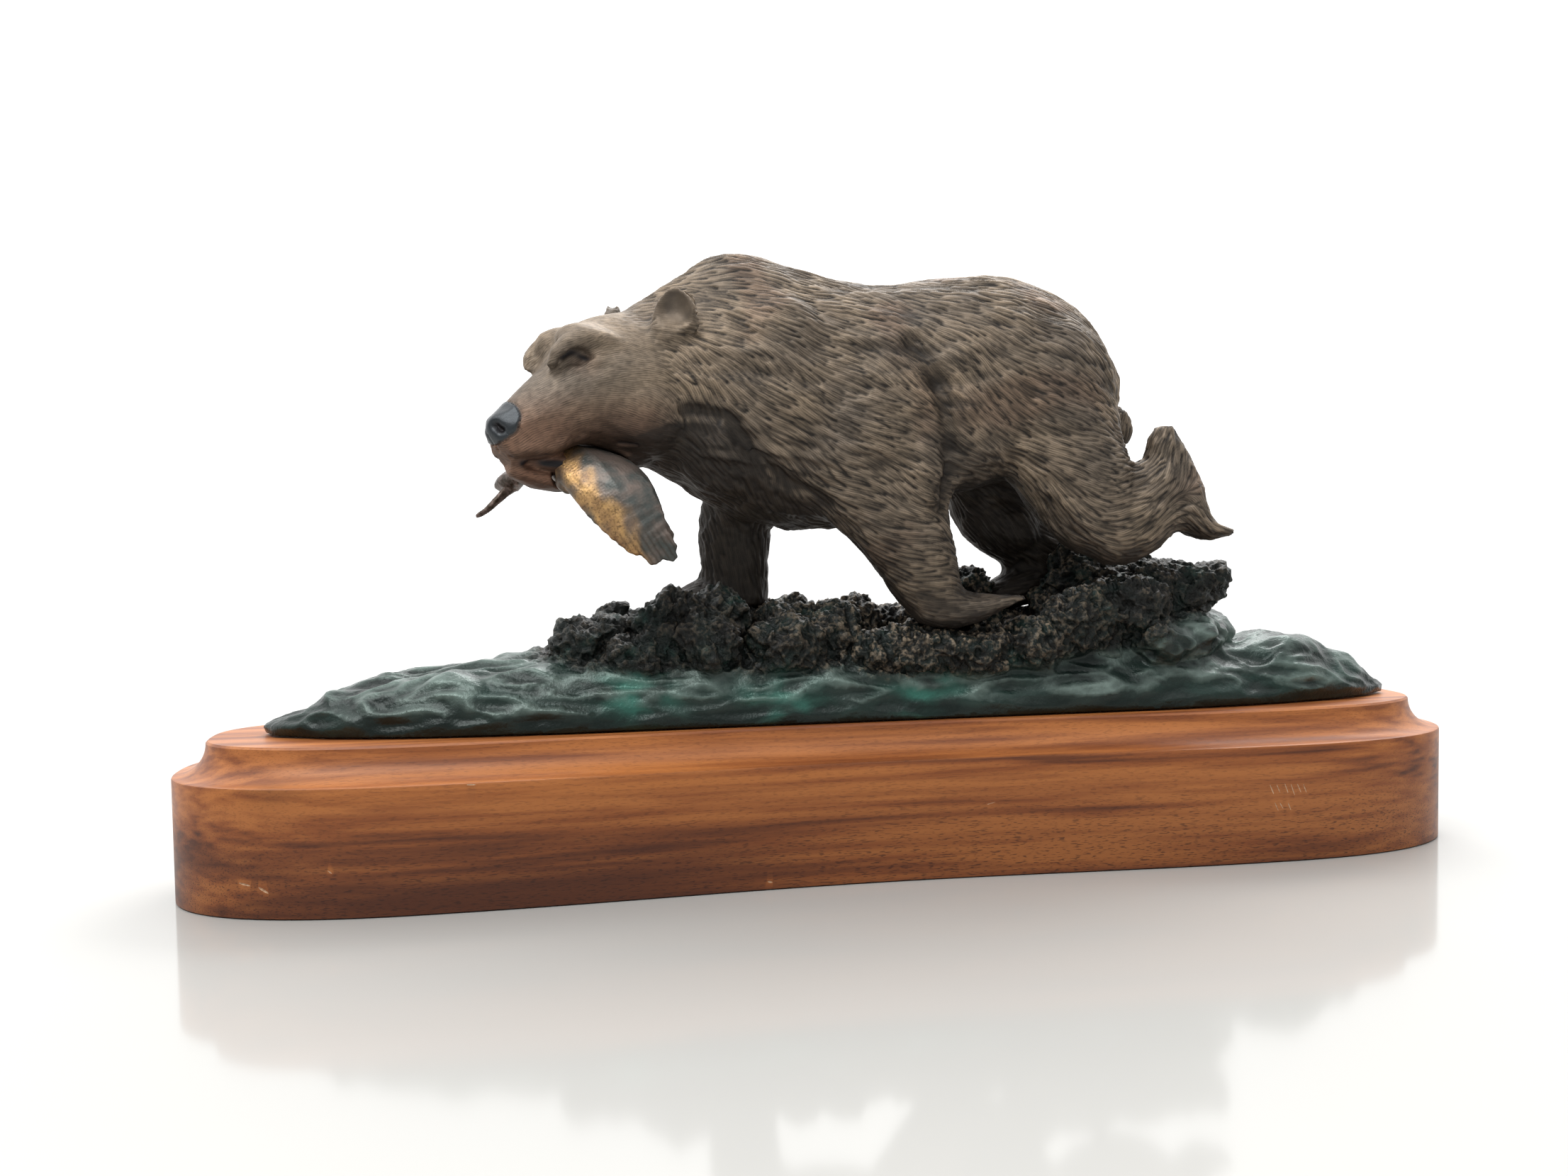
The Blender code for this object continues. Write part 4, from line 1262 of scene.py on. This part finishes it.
@dataclass
class Ground:
    """The cast stream bed: rippled water, jagged rocks and a broken log."""

    grain: float = 0.55
    relaxing: int = 4
    triangles: int = 180000
    border: tuple = ((-112, 30), (-98, 21), (-92, 18), (-55, 15.5), (-16, 15.5), (7, 12.5), (47, 14),
                     (88, 21), (113, 28), (124, 34))
    foot: float = 0.3
    swell_size: tuple = (15, 7, 9)
    chop_size: tuple = (15, 4.2, 4.6)
    curl_size: tuple = (4.2, 2.0, 2.4)
    wrinkle_size: tuple = (2.6, 1.2, 1.3)
    lump_size: float = 7.5
    crag_size: float = 4.6
    knob_size: float = 2.3
    grit_size: float = 1.3
    relief: float = 0.8
    shrink: float = 0.25
    tan_middle: tuple = (30, 46)
    bright_places: tuple = ((-24, -27, 52), (20, -27, 55), (-66, -26, 58))
    bright_size: float = 15.0

    def ridges(self, points: Points, size: float, seed: float, sharp: float = 2.4) -> Points:
        """Ridges and the valleys between them.

        Args:
            points: places in millimetres.
            size: the size of a ridge, in millimetres.
            seed: an offset that makes them others.
            sharp: how deep the valleys are.

        Returns:
            1 on a ridge, less below.
        """
        return 1 - sharp * np.abs(noise_at(points, size, seed))

    def water(self, points: Points) -> tuple[Points, Points]:
        """The water's folds.

        Args:
            points: places in millimetres.

        Returns:
            The relief in millimetres, and how high each place stands, lower near the front foot, for the
            painted shade in the troughs and the painted highlights on the crests.
        """
        swell = noise_at(points, self.swell_size, 1.0)
        chop = self.ridges(points, self.chop_size, 2.0, 2)
        curl = self.ridges(points, self.curl_size, 8.0, 2.2)
        relief = 1.5 * swell + 1.3 * chop + 0.20 * curl + 0.12 * noise_at(points, self.wrinkle_size, 3.0)
        front = ramp(-(points[:, 2] - TOP), -8, -2)
        return relief, 0.27 * (0.7 * swell + 1.0 * chop + 0.3 * curl) - 0.28 * front

    def rocks(self, points: Points) -> tuple[Points, Points, Points]:
        """The rocks' broken surface.

        Args:
            points: places in millimetres.

        Returns:
            The relief in millimetres, how high each place stands, for the painted shade in the crevices,
            and its high spots.
        """
        lump = noise_at(points, self.lump_size, 4.0)
        crag = self.ridges(points, self.crag_size, 5.0)
        knob = self.ridges(points, self.knob_size, 6.0)
        grit = noise_at(points, self.grit_size, 7.0)
        relief = 1.4 * lump + 1.3 * crag + 1.15 * knob + 0.85 * grit
        middle, reach = self.tan_middle
        tan = 0.16 + 0.84 * np.exp(-(((points[:, 0] - middle) / reach) ** 2))
        tan = tan * ramp(knob + 0.6 * crag + 0.5 * lump + 0.5 * grit, 0.5, 1.3)
        return relief, 0.22 * (crag + knob), tan

    def build(self, node: bpy.types.Object) -> bpy.types.Object:
        """Makes the stream bed.

        Args:
            node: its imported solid.

        Returns:
            The finished piece.
        """
        ground = fine_copy(node, "rocks_and_water", self.grain, self.relaxing)
        clay = Clay(ground)
        floor = TOP + self.foot
        rise = ramp(clay.points[:, 2] - floor, 0.6, 4)
        border = np.interp(clay.points[:, 0], *np.array(self.border).T)
        border = border + 3.0 * noise_at(clay.points, 12, 3.0)
        rock = ramp(clay.points[:, 2] - TOP - border, -2.2, 2.2)
        folds, crest = self.water(clay.points)
        rough, knobs, tan = self.rocks(clay.points)
        # height: for painted shade in the troughs and crevices and painted highlights on the water's
        # crests
        height = np.clip(0.5 + crest * (1 - rock) + knobs * rock, 0, 1)
        # painted highlight: the tan is stronger on faces that turn up
        tan = tan * (0.45 + 0.55 * ramp(clay.normals[:, 2], -0.2, 0.6))
        bright = sum(clay.near(place, self.bright_size) for place in self.bright_places)
        bright = np.clip(bright * (0.45 + 1.5 * noise_at(clay.points, (8, 3, 4), 11.0)), 0, 1)
        clay.raise_by((folds * (1 - rock) + rough * rock) * rise * self.relief - self.shrink)
        clay.points[:, 2] = np.maximum(clay.points[:, 2], floor)
        clay.write()
        coats = {"rock": rock, "height": height, "tan": tan, "bright": bright}
        return finished(clay, self.triangles, coats, GreenBronze().make())


@dataclass
class Salmon:
    """The fish in the bear's jaws, with fine scales and a ribbed tail."""

    grain: float = 0.30
    relaxing: int = 10
    triangles: int = 60000
    gold_line: tuple = ((-86.0, 122.0), (-82.0, 116.0), (-76.5, 110.0), (-71.5, 103.0), (-68.0, 94.0))
    gold_reach: float = 5.2
    length_axis: tuple = (0.55, -0.30, -0.78)
    depth_axis: tuple = (0.83, 0.10, 0.55)
    scale_pitch: float = 1.7
    ray_pitch: float = 1.5
    fold_pitch: float = 3.0
    scale_rise: float = 0.03
    ray_rise: float = 0.07
    fold_rise: float = 0.12
    mouth_depth: float = 1.9

    def build(self, node: bpy.types.Object) -> bpy.types.Object:
        """Makes the salmon.

        Args:
            node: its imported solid.

        Returns:
            The finished piece.
        """
        salmon = fine_copy(node, "speckled_salmon", self.grain, self.relaxing)
        clay = Clay(salmon)
        run = clay.points @ np.array(self.length_axis)
        deep = clay.points @ np.array(self.depth_axis)
        x, height = clay.points[:, 0], clay.points[:, 2] - TOP
        spine = np.array(self.gold_line)
        reach = np.abs(x - np.interp(-clay.points[:, 2], -spine[:, 1], spine[:, 0])) / self.gold_reach
        back = ramp(reach + 0.8 * noise_at(clay.points, (4, 4, 7), 2.0), 0.25, 1.35)
        turn = 2 * pi / self.scale_pitch
        scale = np.sin((run + deep) * turn) * np.sin((run - deep) * turn)
        tail = ramp(-height, -61, -54) * ramp(x, -84, -76)
        rays = np.cos(deep * 2 * pi / self.ray_pitch)
        folds = np.cos(run * 2 * pi / self.fold_pitch + noise_at(clay.points, 6) * 2)
        folds = folds * ramp(-height, -68, -58)
        # painted shade: the part inside the bear's mouth is pressed in and painted near black
        mouth = ramp(-x, 87.6, 89.2) * ramp(x, -99, -96)
        clay.raise_by(self.scale_rise * scale * (1 - tail) + self.ray_rise * rays * tail
                      + self.fold_rise * folds - self.mouth_depth * mouth)
        clay.write()
        groove = np.maximum(0.5 * np.clip(-rays, 0, 1) * tail, mouth)
        coats = {"groove": groove, "back": back, "stick": ramp(-x, 91, 96) * (1 - mouth)}
        return finished(clay, self.triangles, coats, GoldenBronze().make())


@dataclass
class Plinth:
    """The walnut plank with its rounded ends and hollow cove."""

    length: float = 394.0
    depth: float = 80.0
    waist: float = 71.0
    height: float = 44.5
    end_reach: float = 74.0
    end_power: float = 2.5
    cove_width: float = 9.8
    cove_height: float = 9.5
    edge: float = 0.6
    quarter_points: int = 96
    seed: int = 3
    strokes_start: tuple = (121.0, 23.5)
    stroke_rows: tuple = ((0.0, 6, 2.9), (5.4, 3, 2.2))
    stroke_gap: float = 2.2
    stroke_width: float = 0.17
    chips: tuple = ((-174.0, 9.6, 3.4, 0.7, 0.30), (-168.6, 8.6, 2.8, 1.6, 0.34),
                    (-113.4, 34.6, 2.6, 0.1, 0.22), (-31.0, 2.2, 1.4, 0.3, 0.26),
                    (-150.0, 13.0, 1.0, 0.8, 0.16), (34.0, 21.0, 2.4, -0.6, 0.12))
    wall_steps: int = 6
    cove_steps: int = 14
    top_insets: tuple = (3.0, 12.0)
    knot_size: tuple = (8, 2.6)
    smooth_angle: float = radians(32)

    def outline(self) -> Points:
        """The widest outline in the plan, as points in turning order.

        Returns:
            One point a row, in millimetres.
        """
        straight = self.length / 2 - self.end_reach
        bulge = self.depth / 2
        dip = bulge - self.waist / 2
        quarter = []
        for i in range(self.quarter_points):
            x = straight * i / self.quarter_points
            quarter.append((x, bulge - dip * (1 + cos(pi * x / straight)) / 2))
        for i in range(self.quarter_points + 1):
            angle = pi / 2 * i / self.quarter_points
            x = straight + self.end_reach * sin(angle) ** (2 / self.end_power)
            quarter.append((x, bulge * cos(angle) ** (2 / self.end_power)))
        right = quarter + [(x, -y) for x, y in quarter[-2:0:-1]]
        return np.array(right + [(-x, -y) for x, y in right])[::-1]

    def build(self) -> bpy.types.Object:
        """Makes the plinth.

        Returns:
            The finished piece.
        """
        outline = self.outline()
        deselect_all()
        bpy.ops.mesh.primitive_circle_add(vertices=len(outline), radius=0.1, fill_type="NGON")
        plinth = bpy.context.active_object
        plinth.name = "waisted_walnut_plinth"
        for vert, (x, y) in zip(plinth.data.vertices, outline):
            vert.co = (x * MM, y * MM, 0)
        make_active(plinth)
        bpy.ops.object.mode_set(mode="EDIT")
        bpy.ops.mesh.select_all(action="SELECT")
        bpy.ops.mesh.normals_make_consistent(inside=False)
        self.raise_profile()
        bpy.ops.object.mode_set(mode="OBJECT")
        self.paint(plinth)
        self.scratch(plinth)
        make_active(plinth)
        bpy.ops.object.shade_smooth_by_angle(angle=self.smooth_angle)
        return plinth

    def raise_profile(self) -> None:
        """Raises the selected outline: the wall, its eased edge, the cove and the flat top."""
        lip = self.height - self.cove_height
        for _ in range(self.wall_steps):
            self.lift((lip - self.edge) / self.wall_steps)
        self.step(self.edge * 0.3, self.edge * 0.7)
        self.step(self.edge * 0.7, self.edge * 0.3)
        inset, height = self.edge, lip
        for i in range(1, self.cove_steps + 1):
            angle = pi / 2 * i / self.cove_steps
            next_inset = self.edge + (self.cove_width - self.edge - self.edge) * sin(angle)
            next_height = self.height - self.edge - (self.cove_height - self.edge) * cos(angle)
            self.step(next_inset - inset, next_height - height)
            inset, height = next_inset, next_height
        self.step(self.edge, self.edge)
        for reach in self.top_insets:
            self.step(reach, 0.0)

    def paint(self, plinth: bpy.types.Object) -> None:
        """Gives the plinth its coats and its finish.

        Args:
            plinth: the plinth.
        """
        finish = Walnut()
        clay = Clay(plinth)
        x, _, z = clay.points.T
        lip = self.height - self.cove_height
        clay.paint("rim", 0.75 * ramp(z, lip - 0.8, lip + 0.5))
        clay.paint("low", ramp(-z, -30, -6))
        across = (x - finish.knot_place[0]) / self.knot_size[0]
        up = (z - finish.knot_place[1]) / self.knot_size[1]
        clay.paint("knot", np.exp(-(across ** 2) - up ** 2))
        plinth.data.materials.append(finish.make())

    def marks(self) -> list[tuple]:
        """The shallow marks: rows of slanted strokes low on the right, and the chips.

        Returns:
            (x, z, end x, end z, half width) each, in millimetres on the front face.
        """
        rng = np.random.default_rng(self.seed)
        start_x, start_z = self.strokes_start
        marks = []
        for drop, count, reach in self.stroke_rows:
            for i in range(count):
                x = start_x + i * self.stroke_gap + 0.7 * rng.random() + 0.2 * drop
                z = start_z - drop - 0.5 * rng.random()
                end_x = x + 0.9 + 0.5 * rng.random()
                marks.append((x, z, end_x, z - reach * (0.8 + 0.4 * rng.random()), self.stroke_width))
        return marks + [(x, z, x + run, z - drop, wide) for x, z, run, drop, wide in self.chips]

    def cutter(self, mark: tuple, front: Points) -> bpy.types.Object:
        """The slim lens that cuts one mark.

        Args:
            mark: the mark.
            front: the front face's outline, from left to right.

        Returns:
            The cutter.
        """
        x0, z0, x1, z1, wide = mark
        run = Vector((x1 - x0, 0, z1 - z0))
        middle_x, middle_z = (x0 + x1) / 2, (z0 + z1) / 2
        y = float(np.interp(middle_x, front[:, 0], front[:, 1]))
        slope = float(np.interp(middle_x + 1, front[:, 0], front[:, 1])) - y
        deselect_all()
        bpy.ops.mesh.primitive_uv_sphere_add(segments=12, ring_count=8, radius=1.0)
        cutter = bpy.context.active_object
        angle = Vector((1, 0)).angle_signed(Vector((run.x, run.z)))
        turn = Matrix.Rotation(slope, 4, "Z") @ Matrix.Rotation(angle, 4, "Y")
        size = Matrix.Diagonal((run.length / 2 * MM, wide * MM, wide * MM, 1))
        place = Matrix.Translation(Vector((middle_x, y, middle_z)) * MM)
        cutter.data.transform(place @ turn @ size)
        return cutter

    def scratch(self, plinth: bpy.types.Object) -> None:
        """Cuts the shallow marks down to bare wood.

        Args:
            plinth: the plinth.
        """
        outline = self.outline()
        front = outline[outline[:, 1] < 0]
        front = front[np.argsort(front[:, 0])]
        cutters = [self.cutter(mark, front) for mark in self.marks()]
        bare_wood = BareWood().make()
        make_active(cutters[0])
        for cutter in cutters:
            cutter.data.materials.append(bare_wood)
            cutter.select_set(True)
        bpy.ops.object.join()
        apply_modifier(plinth, "BOOLEAN", operation="DIFFERENCE", object=cutters[0], solver="EXACT",
                       use_self=True, material_mode="TRANSFER")
        bpy.data.objects.remove(cutters[0])

    def lift(self, rise: float) -> None:
        """Extrudes the top face upwards.

        Args:
            rise: how far, in millimetres.
        """
        bpy.ops.mesh.extrude_region_move(TRANSFORM_OT_translate={"value": (0, 0, rise * MM)})

    def step(self, inset: float, rise: float) -> None:
        """Insets the top face and moves it up.

        Args:
            inset: how far in from its edge, in millimetres.
            rise: how far up, in millimetres.
        """
        bpy.ops.mesh.inset(thickness=inset * MM, depth=rise * MM, use_even_offset=True)


@dataclass(frozen=True)
class PaleTable:
    """A pale, slightly glossy table top."""

    colour: tuple = (0.50, 0.495, 0.475)
    smudge: float = 160

    def make(self) -> bpy.types.Material:
        """Builds the material."""
        look = Surface("pale_table")
        look.set(Base_Color=(*self.colour, 1.0))
        look.link(look.steps(look.noise(self.smudge, 3), [(0.3, 0.07), (0.7, 0.13)]), "Roughness")
        return look.material


@dataclass
class Studio:
    """Pale table, soft lights and the camera that the picture was taken with."""

    place: tuple = (-0.0895, -0.4094, 0.104)
    pitch: float = radians(2.8)
    yaw: float = radians(9.8)
    roll: float = radians(-0.85)
    focal_pixels: float = 1900.0
    picture_width: float = 2212.0
    sensor: float = 36.0
    fill: float = 0.38
    glows: tuple = (("Y", -0.15, 0.45, 1.0), ("Z", 0.15, 0.9, 0.7))
    lights: tuple = (("key", (-0.5, -0.5, 1.2), (0.9, 0.6), 9), ("back", (0.5, 0.8, 1.1), (1.2, 0.6), 12))
    aim: tuple = (0, 0, 0.1)
    table_side: float = 14
    table_drop: float = 0.0004

    def camera(self) -> None:
        """Sets the camera up."""
        made = bpy.data.cameras.new("view")
        made.sensor_width = self.sensor
        made.lens = self.focal_pixels / self.picture_width * self.sensor
        made.clip_start = 0.01
        made.clip_end = 20
        thing = bpy.data.objects.new("view", made)
        bpy.context.scene.collection.objects.link(thing)
        right = Vector((cos(self.yaw), -sin(self.yaw), 0))
        level = Vector((sin(self.yaw), cos(self.yaw), 0))
        up = Vector((0, 0, 1))
        ahead = cos(self.pitch) * level - sin(self.pitch) * up
        above = sin(self.pitch) * level + cos(self.pitch) * up
        s, c = sin(self.roll), cos(self.roll)
        axis_x = c * right + s * above
        axis_y = -s * right + c * above
        turned = Matrix((axis_x, axis_y, -ahead)).transposed().to_4x4()
        thing.matrix_world = Matrix.Translation(self.place) @ turned
        bpy.context.scene.camera = thing

    def light(self, name: str, place: tuple, size: tuple, power: float) -> None:
        """Hangs one soft rectangular light.

        Args:
            name: its name.
            place: where it hangs, in metres.
            size: its width and height, in metres.
            power: its watts.
        """
        lamp = bpy.data.lights.new(name, "AREA")
        lamp.shape = "RECTANGLE"
        lamp.size, lamp.size_y = size
        lamp.energy = power
        thing = bpy.data.objects.new(name, lamp)
        bpy.context.scene.collection.objects.link(thing)
        thing.location = place
        thing.rotation_euler = (Vector(self.aim) - Vector(place)).to_track_quat("-Z", "Y").to_euler()

    def table(self) -> None:
        """Lays the table just under the plinth."""
        deselect_all()
        bpy.ops.mesh.primitive_grid_add(x_subdivisions=4, y_subdivisions=4, size=self.table_side,
                                        location=(0, 0, -self.table_drop))
        table = bpy.context.active_object
        table.name = "table"
        table.data.materials.append(PaleTable().make())

    def sky(self, tree: bpy.types.NodeTree) -> None:
        """Makes the room bright behind and over the table and dim before it.

        Args:
            tree: the world's nodes.
        """
        heading = tree.nodes.new("ShaderNodeTexCoord").outputs["Generated"]
        split = tree.nodes.new("ShaderNodeSeparateXYZ")
        tree.links.new(heading, split.inputs[0])
        total = None
        for axis, low, high, most in self.glows:
            share = tree.nodes.new("ShaderNodeMapRange")
            share.interpolation_type = "SMOOTHSTEP"
            for name, value in (("From Min", low), ("From Max", high), ("To Max", most)):
                share.inputs[name].default_value = value
            tree.links.new(split.outputs[axis], share.inputs["Value"])
            add = tree.nodes.new("ShaderNodeMath")
            add.inputs[1].default_value = self.fill
            tree.links.new(share.outputs["Result"], add.inputs[0])
            if total is not None:
                tree.links.new(total, add.inputs[1])
            total = add.outputs[0]
        tree.links.new(total, tree.nodes["Background"].inputs["Strength"])
        tree.nodes["Background"].inputs["Color"].default_value = (1.0, 1.0, 1.0, 1.0)

    def build(self) -> None:
        """Sets up the whole studio."""
        self.camera()
        self.table()
        world = bpy.data.worlds.new("studio")
        bpy.context.scene.world = world
        world.use_nodes = True
        self.sky(world.node_tree)
        for light in self.lights:
            self.light(*light)
        bpy.context.scene.view_settings.view_transform = "Standard"


def report(piece: bpy.types.Object, stands_for: Piece) -> None:
    """Puts a finished piece on its body and logs it.

    Args:
        piece: the finished piece.
        stands_for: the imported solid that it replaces.
    """
    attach(piece, "root")
    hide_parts(stands_for.value)
    faces = sum(len(polygon.vertices) - 2 for polygon in piece.data.polygons)
    LOG.info("%s: %d triangles", piece.name, faces)


def main() -> None:
    """Builds the sculpture and its studio."""
    logging.basicConfig(level=logging.INFO)
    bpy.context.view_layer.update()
    deselect_all()
    Studio().build()
    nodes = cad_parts
    report(Plinth().build(), Piece.PLINTH)
    report(Ground().build(nodes[Piece.GROUND.value]), Piece.GROUND)
    for part in Bear().build(nodes[Piece.BEAR.value]):
        report(part, Piece.BEAR)
    report(Salmon().build(nodes[Piece.SALMON.value]), Piece.SALMON)


if __name__ == "__main__":
    main()
